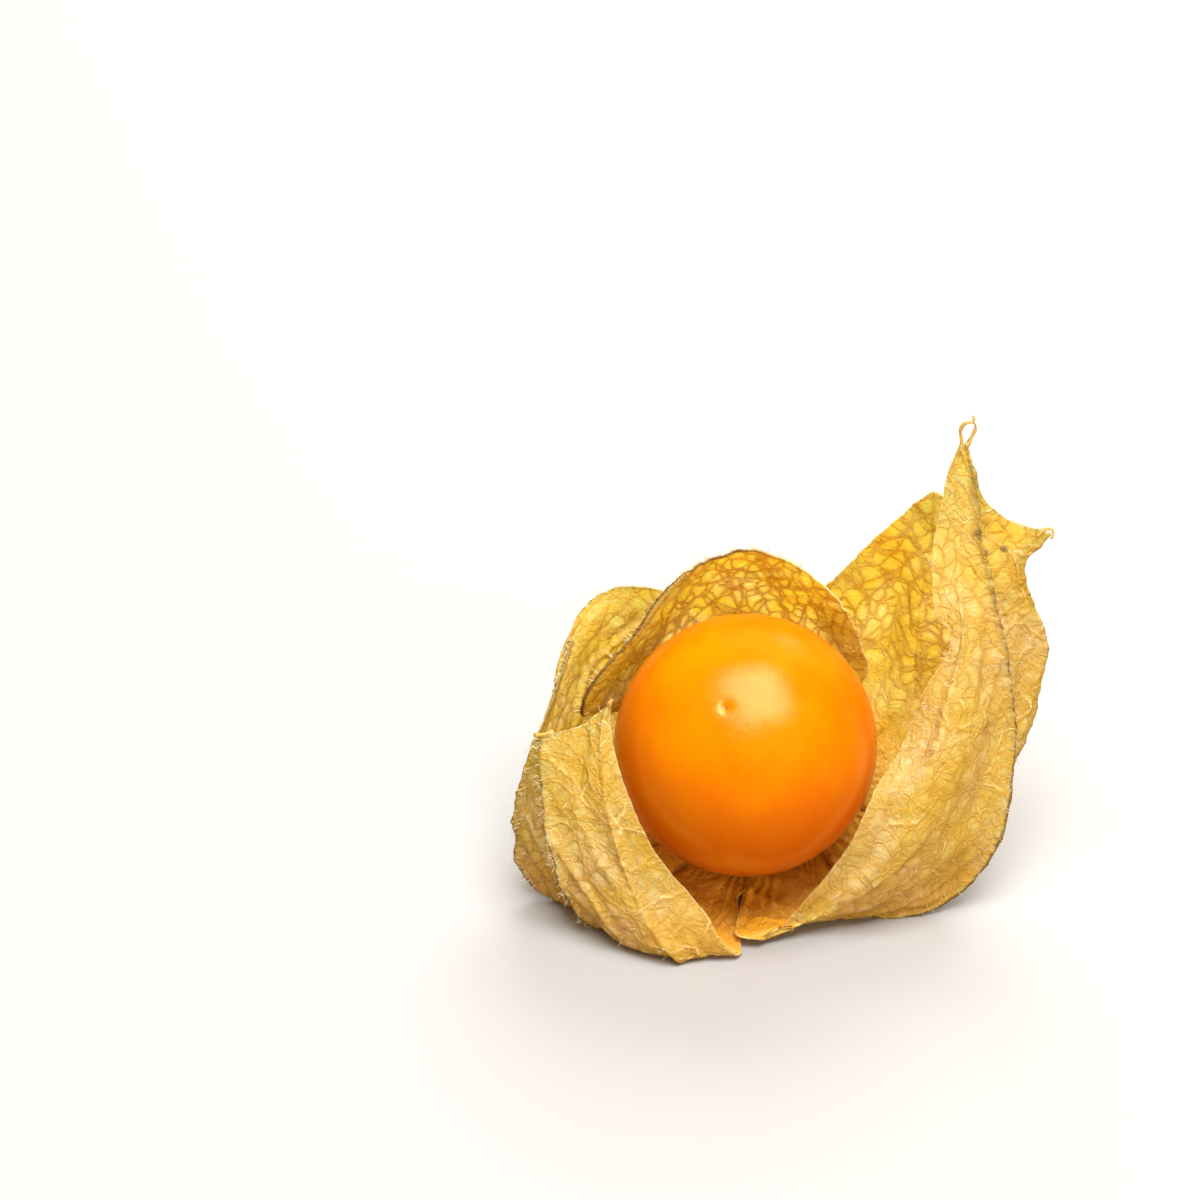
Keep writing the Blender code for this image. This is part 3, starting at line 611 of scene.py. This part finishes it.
def calyxPaper(name, inner):
    # Dried calyx, a papery leaf: thin cellulose film between veins. It is dull, and glows when lit from behind.
    material, tree, surface = newMaterial(name)
    veinStrength, ribStrength = (0.4, 0.35) if inner else (0.75, 0.9)

    def read(attribute, output="Fac"):
        return addNode(tree, "ShaderNodeAttribute", output=output, attribute_name=attribute)

    place, gathered = read("sheetPlace", "Vector"), read("gathered")
    small, large, veinHighlight, puff, fine = veinNet(tree, place, read("nearestRib"), read("along"))
    patches = addNode(tree, "ShaderNodeTexNoise",
                      {"Vector": place, "Scale": 1 / paper["patchSize"], "Detail": 3.0})
    fibres = addNode(tree, "ShaderNodeTexNoise",
                     {"Vector": place, "Scale": 1 / paper["fibreSize"], "Detail": 3.0, "Distortion": 1.4})
    colour = filmColour(tree, read, patches, fibres, puff, fine)
    weak = addNode(tree, "ShaderNodeMath", (small, 0.9), operation="MULTIPLY")
    veins = addNode(tree, "ShaderNodeMath", (weak, large), operation="MAXIMUM")
    share = addNode(tree, "ShaderNodeMath", (veins, veinStrength), operation="MULTIPLY")
    colour = addNode(tree, "ShaderNodeMix", {0: share, 6: colour, 7: srgb(paper["vein"])}, **colourMix)
    closed = gathered
    if inner:
        # painted light: the bottom of the husk's inside and its gathered paper are tinted amber for light
        # bounced between amber paper and berry
        depth = addNode(tree, "ShaderNodeSeparateXYZ", [place], output="Z")
        low = addNode(tree, "ShaderNodeMapRange", (depth, -11.5, -5.5, 1.0, 0.0), **smoothStep)
        closed = addNode(tree, "ShaderNodeMath", (gathered, low), operation="MAXIMUM")
        share = addNode(tree, "ShaderNodeMath", (closed, 0.7), operation="MULTIPLY")
        colour = addNode(tree, "ShaderNodeMix", {0: share, 6: colour, 7: srgb(paper["paintedBounce"])}, **colourMix)
    else:
        # here and there a raised vein gets a painted pale highlight along its crest
        highlightPatches = addNode(tree, "ShaderNodeTexNoise",
                         {"Vector": place, "Scale": 1 / paper["highlightPatches"], "Detail": 1.0})
        highlightPatches = addNode(tree, "ShaderNodeMapRange", (highlightPatches, 0.5, 0.58, 0.0, 0.6), **smoothStep)
        share = addNode(tree, "ShaderNodeMath", (veinHighlight, highlightPatches), operation="MULTIPLY")
        colour = addNode(tree, "ShaderNodeMix", {0: share, 6: colour, 7: srgb(paper["veinHighlight"])}, **colourMix)
    # painted shade: the valleys between pleats are darkened with the vein colour
    pleats = pleatPattern(tree, place, read("around"))
    pleatShade = addNode(tree, "ShaderNodeMapRange", (pleats, 0.1, 0.4, 0.4, 0.0), **smoothStep)
    share = addNode(tree, "ShaderNodeMath", (gathered, pleatShade), operation="MULTIPLY")
    colour = addNode(tree, "ShaderNodeMix", {0: share, 6: colour, 7: srgb(paper["vein"])}, **colourMix)
    dark = darkShare(tree, read, place, ribStrength)
    colour = addNode(tree, "ShaderNodeMix", {0: dark, 6: colour, 7: srgb(paper["rib"])}, **colourMix)
    # a fresh tear shows the pale fibres
    tear = addNode(tree, "ShaderNodeMapRange", (read("edge"), 0.02, 0.14, 0.6, 0.0), **smoothStep)
    fresh = addNode(tree, "ShaderNodeMath", (1.0, read("rimTone")), operation="SUBTRACT")
    torn = addNode(tree, "ShaderNodeMath", (tear, fresh), operation="MULTIPLY")
    colour = addNode(tree, "ShaderNodeMix", {0: torn, 6: colour, 7: srgb(paper["edge"])}, **colourMix)
    if inner:
        colour = addNode(tree, "ShaderNodeMix", {0: 1.0, 6: colour, 7: srgb(paper["inside"])},
                         blend_type="MULTIPLY", **colourMix)
    grain = weightedSum(tree, (veins, 0.4), (fibres, 0.3), (fine, 0.3), (puff, 0.3))
    bump = addNode(tree, "ShaderNodeBump",
                   {"Height": grain, "Strength": 0.7, "Distance": paper["grain"] * mm})
    front = addNode(tree, "ShaderNodeBsdfPrincipled",
                    {"Base Color": colour, "Roughness": paper["roughness"], "Normal": bump,
                     "Specular IOR Level": 0.4})
    glow = addNode(tree, "ShaderNodeBsdfTranslucent", {"Color": colour, "Normal": bump})
    dense = addNode(tree, "ShaderNodeMath", (veins, 0.45), operation="MULTIPLY")
    dense = addNode(tree, "ShaderNodeMath", (dense, dark), operation="MAXIMUM")
    thin = weightedSum(tree, (dense, -paper["through"]), (1.0, paper["through"]))
    # layers lie close together where the sheet is gathered, and less light comes through them
    single = weightedSum(tree, (closed, -0.7), (1.0, 1.0))
    through = addNode(tree, "ShaderNodeMath", (thin, single), operation="MULTIPLY")
    tree.links.new(addNode(tree, "ShaderNodeMixShader", (through, front, glow)), surface)
    return material


print("husk: shaping the sheet")
allCurves = [np.array([meridianCurve(meridian) for meridian in sector]) for sector in sectors]
closeTears(allCurves)
sheets, allRibColumns = zip(*[sectorSheet(index) for index in range(len(sectors))])
joinSectors(sheets)
relief = reliefTree()
outside, inside = calyxPaper("dryCalyxOutside", False), calyxPaper("dryCalyxInside", True)
# each piece: its sector, and its first and last meridian there
huskPieces = {"left_flap": (0, 0, -1), "back_arch": (1, 0, -1), "tent_far_wall": (2, 0, 4),
              "tent_near_wall": (2, 4, -1)}
for name, (index, first, last) in huskPieces.items():
    piece = buildSheet(name, sheets[index], allRibColumns[index][first], allRibColumns[index][last])
    applyRelief(piece, relief)
    finishPiece(piece, outside, "husk")
    piece.data.materials.append(inside)
    print("husk:", name, len(piece.data.polygons) * 2, "triangles")


# Hairs and the dried threads that end the teeth.
hair = {
    "radius": 0.028,          # mm at the root
    "length": (0.25, 0.75),
    "colour": "#F4EAC8",
}
# Where hairs grow: the piece, how many, the degrees round the axis, and how far up to the rim as a share.
hairPatches = [
    ("left_flap", 260, (218, 224), (0.3, 1.0)), ("left_flap", 160, (203, 209), (0.35, 1.0)),
    ("left_flap", 150, (150, 210), (0.97, 1.0)), ("left_flap", 60, (246, 266), (0.4, 1.0)),
    ("left_flap", 70, (181, 187), (0.35, 1.0)), ("back_arch", 130, (138, 144), (0.4, 1.0)),
    ("back_arch", 150, (76, 144), (0.98, 1.0)), ("tent_near_wall", 220, (-51, -45), (0.1, 0.75)),
    ("tent_far_wall", 60, (-15, 27), (0.97, 1.0)), ("tent_near_wall", 60, (-90, -84), (0.2, 1.0)),
    ("left_flap", 130, (150, 262), (0.2, 1.0)), ("tent_near_wall", 120, (-86, -20), (0.15, 1.0)),
    ("back_arch", 80, (60, 140), (0.2, 1.0)),
]
threads = {
    "radius": 0.17,           # mm
    "rings": 18, "sides": 8,
    "streaks": 0.6,           # mm, the fibres that show on threads and hairs
    "colour": "#D8B45A", "tip": "#6A5A30",
}
# Each thread: its radius as a share, and the points that it runs through.
threadRoutes = [
    (1.1, [(16.1, 8.8, 20.4), (16.15, 9.2, 21.3), (16.05, 9.4, 22.1), (16.35, 9.4, 22.7), (17.0, 9.3, 22.9)]),
    (0.9, [(16.4, 8.9, 20.7), (16.9, 9.3, 21.6), (17.2, 9.5, 22.3), (17.0, 9.3, 22.9)]),
    (0.7, [(16.9, 9.3, 22.85), (17.05, 9.4, 23.1), (16.9, 9.5, 23.35)]),
    (1.1, [(21.9, 6.4, 14.6), (22.6, 6.7, 15.1), (23.1, 6.6, 15.0), (23.0, 6.2, 14.5)]),
    (1.4, [(-14.6, -1.5, 2.0), (-15.4, -1.9, 2.15), (-16.0, -2.2, 2.3)]),
    (1.5, [(-10.5, -2.0, 4.4), (-10.35, -1.8, 4.9), (-10.1, -1.7, 5.2)]),
]


def ringFaces(rings, sides):
    # the faces between rings of points that follow each other along a tube
    faces = []
    for start in range(0, (rings - 1) * sides, sides):
        for k in range(sides):
            a, b = start + k, start + (k + 1) % sides
            faces.append((a, b, b + sides, a + sides))
    return faces


def makeTube(route, radii, sides):
    # a closed tube along points in mm from the berry's middle
    points = np.array(route)
    vertices = []
    for place, direction, radius in zip(points, np.gradient(points, axis=0), radii):
        turn = Vector(direction).to_track_quat("Z", "Y").to_matrix()
        for k in range(sides):
            angle = 2 * math.pi * k / sides
            spoke = Vector((math.cos(angle) * radius, math.sin(angle) * radius, 0))
            vertices.append(Vector(place) + turn @ spoke)
    ends = [tuple(reversed(range(sides))), tuple(range(len(vertices) - sides, len(vertices)))]
    return vertices, ringFaces(len(points), sides) + ends


def joinShapes(name, shapes):
    vertices, faces = [], []
    for someVertices, someFaces in shapes:
        faces += [tuple(k + len(vertices) for k in face) for face in someFaces]
        vertices += [Vector(v) * mm + Vector(berryMiddle) for v in someVertices]
    mesh = bpy.data.meshes.new(name)
    mesh.from_pydata(vertices, [], faces)
    return linkPiece(name, mesh)


def makeThreads():
    shapes = []
    taper = 1 - 0.45 * np.linspace(0, 1, threads["rings"])
    for share, route in threadRoutes:
        smooth = smoothCurve(route, threads["rings"])
        wobble = np.array([noise.noise(Vector(p) * 1.7) for p in smooth])
        radii = threads["radius"] * share * taper * (1 + 0.6 * wobble)
        shapes.append(makeTube(smooth, radii, threads["sides"]))
    return joinShapes("tooth_threads", shapes)


def sheetPoints(name):
    # a husk piece's points in mm from the berry's middle, and what it knows about each of them
    mesh = bpy.data.objects[name].data
    places, outward = np.empty(len(mesh.vertices) * 3), np.empty(len(mesh.vertices) * 3)
    mesh.vertices.foreach_get("co", places)
    mesh.attributes["outward"].data.foreach_get("vector", outward)
    numbers = {key: np.empty(len(mesh.vertices)) for key in ("around", "rimward", "layer")}
    for key, values in numbers.items():
        mesh.attributes[key].data.foreach_get("value", values)
    return (places.reshape(-1, 3) - berryMiddle) / mm, outward.reshape(-1, 3), numbers


def makeHairs():
    rng = random.Random(7)
    shapes = []
    thickness = [hair["radius"] * share for share in (1.0, 0.7, 0.25)]
    for name, count, (low, high), (bottom, top) in hairPatches:
        places, outward, numbers = sheetPoints(name)
        inside = (numbers["around"] >= low) & (numbers["around"] <= high)
        inside &= (numbers["rimward"] >= bottom) & (numbers["rimward"] <= top)
        chosen = np.flatnonzero(inside & (numbers["layer"] > 0))
        onRim = bottom > 0.96
        for _ in range(count):
            k = rng.choice(chosen)
            root = Vector(places[k])
            lean = Vector([rng.gauss(0, 0.5) for _ in range(3)])
            away = root.normalized() * (1.2 if onRim else 0.2)
            direction = (Vector(outward[k]) * (0.4 if onRim else 1.0) + away + lean).normalized()
            length = rng.uniform(*hair["length"])
            bend = Vector([rng.gauss(0, 0.25) for _ in range(3)]) * length
            middle = root + direction * length * 0.5
            tip = root + direction * length + bend
            # none reaches the floor
            if min(tip.z, middle.z) >= -restHeight + 0.05:
                shapes.append(makeTube([root - direction * 0.08, middle, tip], thickness, 3))
    return joinShapes("calyx_hairs", shapes)


def driedFibre(name, colour, tip):
    # Dried plant hair or thread: matt, pale and a little see-through, so it catches the light on the husk.
    material, tree, surface = newMaterial(name)
    place = placeInMm(tree)
    streaks = addNode(tree, "ShaderNodeTexNoise",
                      {"Vector": place, "Scale": 1 / threads["streaks"], "Detail": 3.0, "Distortion": 1.0})
    mixed = addNode(tree, "ShaderNodeValToRGB", [streaks])
    setStops(mixed.node.color_ramp, [(0.3, tip), (0.46, colour), (0.8, colour)])
    bump = addNode(tree, "ShaderNodeBump", {"Height": streaks, "Strength": 0.5, "Distance": 0.05 * mm})
    front = addNode(tree, "ShaderNodeBsdfPrincipled", {"Base Color": mixed, "Roughness": 0.6, "Normal": bump})
    glow = addNode(tree, "ShaderNodeBsdfTranslucent", {"Color": mixed, "Normal": bump})
    tree.links.new(addNode(tree, "ShaderNodeMixShader", (0.4, front, glow)), surface)
    return material


print("threads and hairs")
threadFibre = driedFibre("driedToothThread", threads["colour"], threads["tip"])
finishPiece(makeThreads(), threadFibre, "husk")
hairFibre = driedFibre("driedCalyxHair", hair["colour"], threads["colour"])
hairPiece = makeHairs()
finishPiece(hairPiece, hairFibre, "husk")
print("hairs:", len(hairPiece.data.polygons), "faces")


# The stalk.
stalk = {
    "radius": 0.85,           # mm
    "swelling": 0.35, "swellingPlace": 0.3, "swellingSpread": 0.1,        # shares of its radius and length
    "flare": 0.15,            # how much wider the cut end is
    "grooves": 7, "grooveDepth": 0.07,
    "lump": 0.05,             # mm, the uneven growth
    "route": [(3.4, 10.4, -11.2), (3.9, 13.4, -11.5), (4.6, 16.6, -11.5)],
    "rings": 180, "sides": 84,
    "dish": [(0.8, -0.03), (0.45, -0.1), (0.2, -0.14)],       # the cut end: share of its radius, and mm deep
    "fibres": 0.45, "patches": 2.2, "cork": 0.25,       # mm, the bark's fibres, slow changes and cork specks
    "bark": "#B79A52", "ridge": "#D9C384", "groove": "#8A6C34", "cut": "#E6D7A4",
}


def makeStalk():
    rings, sides = stalk["rings"], stalk["sides"]
    top = berryRadius * 0.97 + 0.35
    neck = [tuple(-fruitAxis * (top + step)) for step in (0.0, 0.9, 1.9)]
    route = smoothCurve(neck + stalk["route"], rings)
    ahead = np.gradient(route, axis=0)
    share = np.linspace(0, 1, rings)
    swelling = stalk["swelling"] * np.exp(-((share - stalk["swellingPlace"]) / stalk["swellingSpread"]) ** 2)
    radii = stalk["radius"] * (1 + swelling + stalk["flare"] * np.clip((share - 0.9) / 0.1, 0, 1)) * 0.98
    # the two ends close over rounded edges
    radii[0], radii[1] = radii[1] * 0.8, radii[1] * 0.95
    radii[-1] *= 0.93
    vertices = []
    for ring, (place, direction, radius) in enumerate(zip(route, ahead, radii)):
        turn = Vector(direction).to_track_quat("Z", "Y").to_matrix()
        for k in range(sides):
            angle = 2 * math.pi * k / sides
            grooved = stalk["grooveDepth"] * math.cos(stalk["grooves"] * (angle + 0.9 * share[ring]))
            around = turn @ Vector((math.cos(angle), math.sin(angle), 0))
            spot = Vector(place) + around
            lumps = stalk["lump"] * (noise.noise(spot * 1.3) + 0.5 * noise.noise(spot * 4) - 1)
            vertices.append(Vector(place) + around * (radius + grooved + lumps))
    faces = ringFaces(rings, sides)
    # the cut end is a shallow dish with the pith in its middle
    for end, outwards in ((0, -1), (rings - 1, 1)):
        centre = Vector(route[end])
        direction = Vector(ahead[end]).normalized() * outwards
        previous = [end * sides + k for k in range(sides)]
        for scale, depth in stalk["dish"]:
            start = len(vertices)
            for k in range(sides):
                spoke = (vertices[end * sides + k] - centre) * scale
                vertices.append(centre + spoke + direction * (depth + 0.03 * noise.noise(spoke * 5)))
            for k in range(sides):
                following = (k + 1) % sides
                quad = (previous[k], previous[following], start + following, start + k)
                faces.append(quad[::outwards])
            previous = list(range(start, start + sides))
        faces.append(tuple(previous[::outwards]))
    return joinShapes("stalk_stem", [(vertices, faces)])


def stalkBark():
    # Dried herbaceous stem: matt straw bark whose ridges are paler than its grooves, with cork specks.
    material, tree, surface = newMaterial("driedStemBark")
    place = placeInMm(tree)
    fibres = addNode(tree, "ShaderNodeTexNoise",
                     {"Vector": place, "Scale": 1 / stalk["fibres"], "Detail": 4.0, "Distortion": 2.0})
    patches = addNode(tree, "ShaderNodeTexNoise",
                      {"Vector": place, "Scale": 1 / stalk["patches"], "Detail": 2.0})
    colour = addNode(tree, "ShaderNodeValToRGB", [weightedSum(tree, (fibres, 0.55), (patches, 0.45))])
    setStops(colour.node.color_ramp, [(0.34, stalk["groove"]), (0.5, stalk["bark"]), (0.64, stalk["ridge"])])
    cork = addNode(tree, "ShaderNodeTexNoise", {"Vector": place, "Scale": 1 / stalk["cork"], "Detail": 1.0})
    speck = addNode(tree, "ShaderNodeMapRange", (cork, 0.66, 0.74, 0.0, 0.6), **smoothStep)
    colour = addNode(tree, "ShaderNodeMix", {0: speck, 6: colour, 7: srgb(stalk["cut"])}, **colourMix)
    bump = addNode(tree, "ShaderNodeBump", {"Height": fibres, "Strength": 0.7, "Distance": 0.1 * mm})
    bark = addNode(tree, "ShaderNodeBsdfPrincipled", {"Base Color": colour, "Roughness": 0.7, "Normal": bump})
    tree.links.new(bark, surface)
    return material


print("stalk")
finishPiece(makeStalk(), stalkBark(), "stalk")


# The berry.
berry = {
    "flattening": 0.975,
    "divisions": 6,
    "scarRadius": 0.5, "scarDepth": 0.2,      # mm, the dimple round the style scar
    "lipHeight": 0.03, "lipWidth": 0.18,      # mm, the low lip round the dimple
    "dip": 0.25, "dipRadius": 5,              # mm, the shallow hollow at the front
    "neck": 0.5, "neckRadius": 2.4,           # mm, drawn in where the stalk joins
    "lumps": 0.006,                           # share of the radius
    "deep": "#C65A00", "orange": "#C66400", "yellow": "#CE7500", "scar": "#F0BC58", "dot": "#6A380C",
    "roughness": 0.19, "shine": "#FFE9B4",
    "litSide": (-0.9, 0.1, -0.4),            # the lit side, where the ring's painted highlight falls
    "patches": 6.0, "mottle": 1.1,            # mm, the slow and the quick changes of colour
    "pores": 0.22, "waxDrift": 1.6,           # mm, the pores, and how the wax lines wander
    "waxLines": 3.3,                          # in a millimetre, coarser than the real ten so that they show
}


def makeBerry():
    bpy.ops.mesh.primitive_cube_add(size=2)
    cube = bpy.context.object
    divide = cube.modifiers.new("divide", "SUBSURF")
    divide.subdivision_type = "SIMPLE"
    divide.levels = berry["divisions"]
    ball = bpy.data.meshes.new_from_object(cube.evaluated_get(bpy.context.evaluated_depsgraph_get()))
    bpy.data.objects.remove(cube)
    ball.materials.clear()
    points = np.empty(len(ball.vertices) * 3, np.float32)
    ball.vertices.foreach_get("co", points)
    p = points.reshape(-1, 3).astype(float)
    # the cube's points spread evenly over the ball
    second, third = np.roll(p, -1, axis=1) ** 2, np.roll(p, -2, axis=1) ** 2
    even = p * np.sqrt(1 - second / 2 - third / 2 + second * third / 3)
    across = np.linalg.norm(even[:, :2], axis=1) * berryRadius
    height = even[:, 2] * berryRadius * berry["flattening"]
    front = even[:, 2] > 0
    height -= berry["scarDepth"] * np.exp(-(across / berry["scarRadius"]) ** 2) * front
    height += berry["lipHeight"] * np.exp(-((across - berry["scarRadius"]) / berry["lipWidth"]) ** 2) * front
    height -= berry["dip"] * np.exp(-(across / berry["dipRadius"]) ** 2) * front
    height += berry["neck"] * np.exp(-(across / berry["neckRadius"]) ** 2) * ~front
    shaped = np.column_stack([even[:, :2] * berryRadius, height])
    turned = shaped @ np.array([*acrossAxis(), fruitAxis])
    lumps = np.array([noise.noise(Vector(v) / 7) + 0.3 * noise.noise(Vector(v) / 2.5) for v in turned])
    turned *= (1 + berry["lumps"] * lumps)[:, None]
    ball.vertices.foreach_set("co", (turned * mm + berryMiddle).astype(np.float32).ravel())
    ball.update()
    return linkPiece("berry_fruit", ball)


def berrySkin():
    # Ripe berry skin: a thin waxed cuticle over wet flesh, so it glows a little and its highlight is soft.
    material, tree, surface = newMaterial("ripeBerrySkin")
    position = addNode(tree, "ShaderNodeTexCoord", output="Object")
    fromMiddle = addNode(tree, "ShaderNodeVectorMath", (position, tuple(berryMiddle)), operation="SUBTRACT")
    place = addNode(tree, "ShaderNodeVectorMath", {0: fromMiddle, "Scale": 1 / mm}, operation="SCALE")
    # painted light: more yellow towards the apex end, which faces the lamps and the camera, and a deeper orange
    # round the sides
    apexLight = addNode(tree, "ShaderNodeVectorMath", (place, tuple(fruitAxis / berryRadius)), output="Value",
                     operation="DOT_PRODUCT")
    patches = addNode(tree, "ShaderNodeTexNoise",
                      {"Vector": place, "Scale": 1 / berry["patches"], "Detail": 2.0})
    mottle = addNode(tree, "ShaderNodeTexNoise",
                     {"Vector": place, "Scale": 1 / berry["mottle"], "Detail": 4.0, "Distortion": 0.6})
    shade = weightedSum(tree, (patches, 0.5), (mottle, 0.12), (apexLight, 0.42))
    colour = addNode(tree, "ShaderNodeValToRGB", [shade])
    setStops(colour.node.color_ramp, [(0.28, berry["deep"]), (0.5, berry["orange"]), (0.72, berry["yellow"])])
    # a pale ring round the style scar, faint all round and brighter on the lit side as a painted highlight on
    # the dimple's lip, with a dark dot in its middle
    aside = addNode(tree, "ShaderNodeVectorMath", (place, tuple(fruitAxis)), operation="CROSS_PRODUCT")
    aside = addNode(tree, "ShaderNodeVectorMath", [aside], output="Value", operation="LENGTH")
    fromRing = addNode(tree, "ShaderNodeMath", (aside, berry["scarRadius"]), operation="SUBTRACT")
    fromRing = addNode(tree, "ShaderNodeMath", [fromRing], operation="ABSOLUTE")
    ring = addNode(tree, "ShaderNodeMapRange", (fromRing, 0.05, 0.25, 1.0, 0.0), **smoothStep)
    scarPlace = fruitAxis * (berryRadius * berry["flattening"] - berry["scarDepth"] - berry["dip"])
    litShare = addNode(tree, "ShaderNodeVectorMath", (place, berry["litSide"]), output="Value",
                       operation="DOT_PRODUCT")
    scarLean = float(scarPlace.dot(berry["litSide"]))
    litShare = addNode(tree, "ShaderNodeMapRange", (litShare, scarLean - 0.1, scarLean + 0.5, 0.03, 0.3),
                       **smoothStep)
    crescent = addNode(tree, "ShaderNodeMath", (ring, litShare), operation="MULTIPLY")
    colour = addNode(tree, "ShaderNodeMix", {0: crescent, 6: colour, 7: srgb(berry["scar"])}, **colourMix)
    dot = addNode(tree, "ShaderNodeMapRange", (aside, 0.08, 0.15, 0.85, 0.0), **smoothStep)
    colour = addNode(tree, "ShaderNodeMix", {0: dot, 6: colour, 7: srgb(berry["dot"])}, **colourMix)
    # wax draws fine lines round the scar, over fine pores
    fromScar = addNode(tree, "ShaderNodeVectorMath", (place, tuple(scarPlace)), output="Value",
                       operation="DISTANCE")
    drift = addNode(tree, "ShaderNodeTexNoise",
                    {"Vector": place, "Scale": 1 / berry["waxDrift"], "Detail": 2.0})
    waves = weightedSum(tree, (fromScar, berry["waxLines"]), (drift, 9.0))
    lines = addNode(tree, "ShaderNodeMath", (waves, 0.5), operation="PINGPONG")
    pores = addNode(tree, "ShaderNodeTexNoise",
                    {"Vector": place, "Scale": 1 / berry["pores"], "Detail": 3.0, "Distortion": 1.5})
    relief = weightedSum(tree, (pores, 1.0), (lines, 0.8))
    bump = addNode(tree, "ShaderNodeBump", {"Height": relief, "Strength": 0.25, "Distance": 0.05 * mm})
    skin = addNode(tree, "ShaderNodeBsdfPrincipled",
                   {"Base Color": colour, "Roughness": berry["roughness"], "IOR": 1.4, "Normal": bump,
                    "Specular IOR Level": 0.5, "Specular Tint": srgb(berry["shine"]),
                    "Subsurface Weight": 0.3, "Subsurface Radius": (1.0, 0.45, 0.1),
                    "Subsurface Scale": 2.5 * mm})
    tree.links.new(skin, surface)
    return material


print("berry")
finishPiece(makeBerry(), berrySkin(), "berry")


# Floor, lights and camera.
studio = {
    "elevation": 32,          # degrees that the camera looks down
    "distance": 470,          # mm
    "lens": 186,
    "aimAcross": -11.06, "aimUp": 10.98,      # mm that the camera aims beside and above the berry's middle
    "floor": "#9A9A9A",
    "fill": 0.5, "warm": "#FFDCB6",
}
# Each softbox: its direction from the berry, how far off and how big in metres, watts, colour, and whether it
# shows in gloss. The ones behind and in front light the husk and leave the berry's highlight to the overhead.
softboxes = {
    "overhead": ((0.08, -0.21, 0.97), 0.6, (0.45, 0.45), 8.2, "#FFFFFF", True),
    "behind": ((0.2, 0.79, 0.58), 0.6, (0.5, 0.4), 6.8, "#FFFFFF", False),
    "front": ((0.36, -0.84, 0.4), 0.8, (0.6, 0.6), 3.3, studio["warm"], False),
    "window": ((0.34, 0.80, 0.50), 0.9, (0.16, 0.05), 0.12, "#FFFFFF", True),
}


def makeFloor():
    # White acrylic, satin: it goes evenly pale under the lights and takes a soft shadow.
    bpy.ops.mesh.primitive_plane_add(size=6)
    floor = bpy.context.object
    floor.name = "studio_floor"
    material, tree, surface = newMaterial("whiteAcrylicTable")
    table = addNode(tree, "ShaderNodeBsdfPrincipled", {"Base Color": srgb(studio["floor"]), "Roughness": 0.6})
    tree.links.new(table, surface)
    floor.data.materials.append(material)
    floor.visible_glossy = False


def makeStudio():
    world = bpy.data.worlds.new("studio")
    bpy.context.scene.world = world
    world.use_nodes = True
    world.node_tree.nodes["Background"].inputs[0].default_value = srgb(studio["warm"])
    world.node_tree.nodes["Background"].inputs[1].default_value = studio["fill"]
    world.cycles_visibility.glossy = False
    for name, (direction, distance, size, power, colour, shines) in softboxes.items():
        light = bpy.data.lights.new(name, "AREA")
        light.shape = "RECTANGLE"
        light.size, light.size_y = size
        light.energy = power
        light.color = srgb(colour)[:3]
        lamp = bpy.data.objects.new(name, light)
        bpy.context.scene.collection.objects.link(lamp)
        towards = Vector(direction).normalized()
        lamp.location = Vector(berryMiddle) + towards * distance
        lamp.rotation_euler = towards.to_track_quat("Z", "Y").to_euler()
        lamp.visible_glossy = shines
    bpy.context.scene.view_settings.view_transform = "Standard"


def makeCamera():
    tilt = math.radians(studio["elevation"])
    towards = Vector((0, -math.cos(tilt), math.sin(tilt)))
    up = Vector((0, math.sin(tilt), math.cos(tilt)))
    aim = Vector(berryMiddle) + (Vector((studio["aimAcross"], 0, 0)) + up * studio["aimUp"]) * mm
    data = bpy.data.cameras.new("camera")
    data.lens = studio["lens"]
    data.clip_start, data.clip_end = 0.01, 20
    camera = bpy.data.objects.new("camera", data)
    camera.location = aim + towards * studio["distance"] * mm
    camera.rotation_euler = (math.pi / 2 - tilt, 0, 0)
    bpy.context.scene.collection.objects.link(camera)
    bpy.context.scene.camera = camera


print("floor, lights and camera")
makeFloor()
makeStudio()
makeCamera()
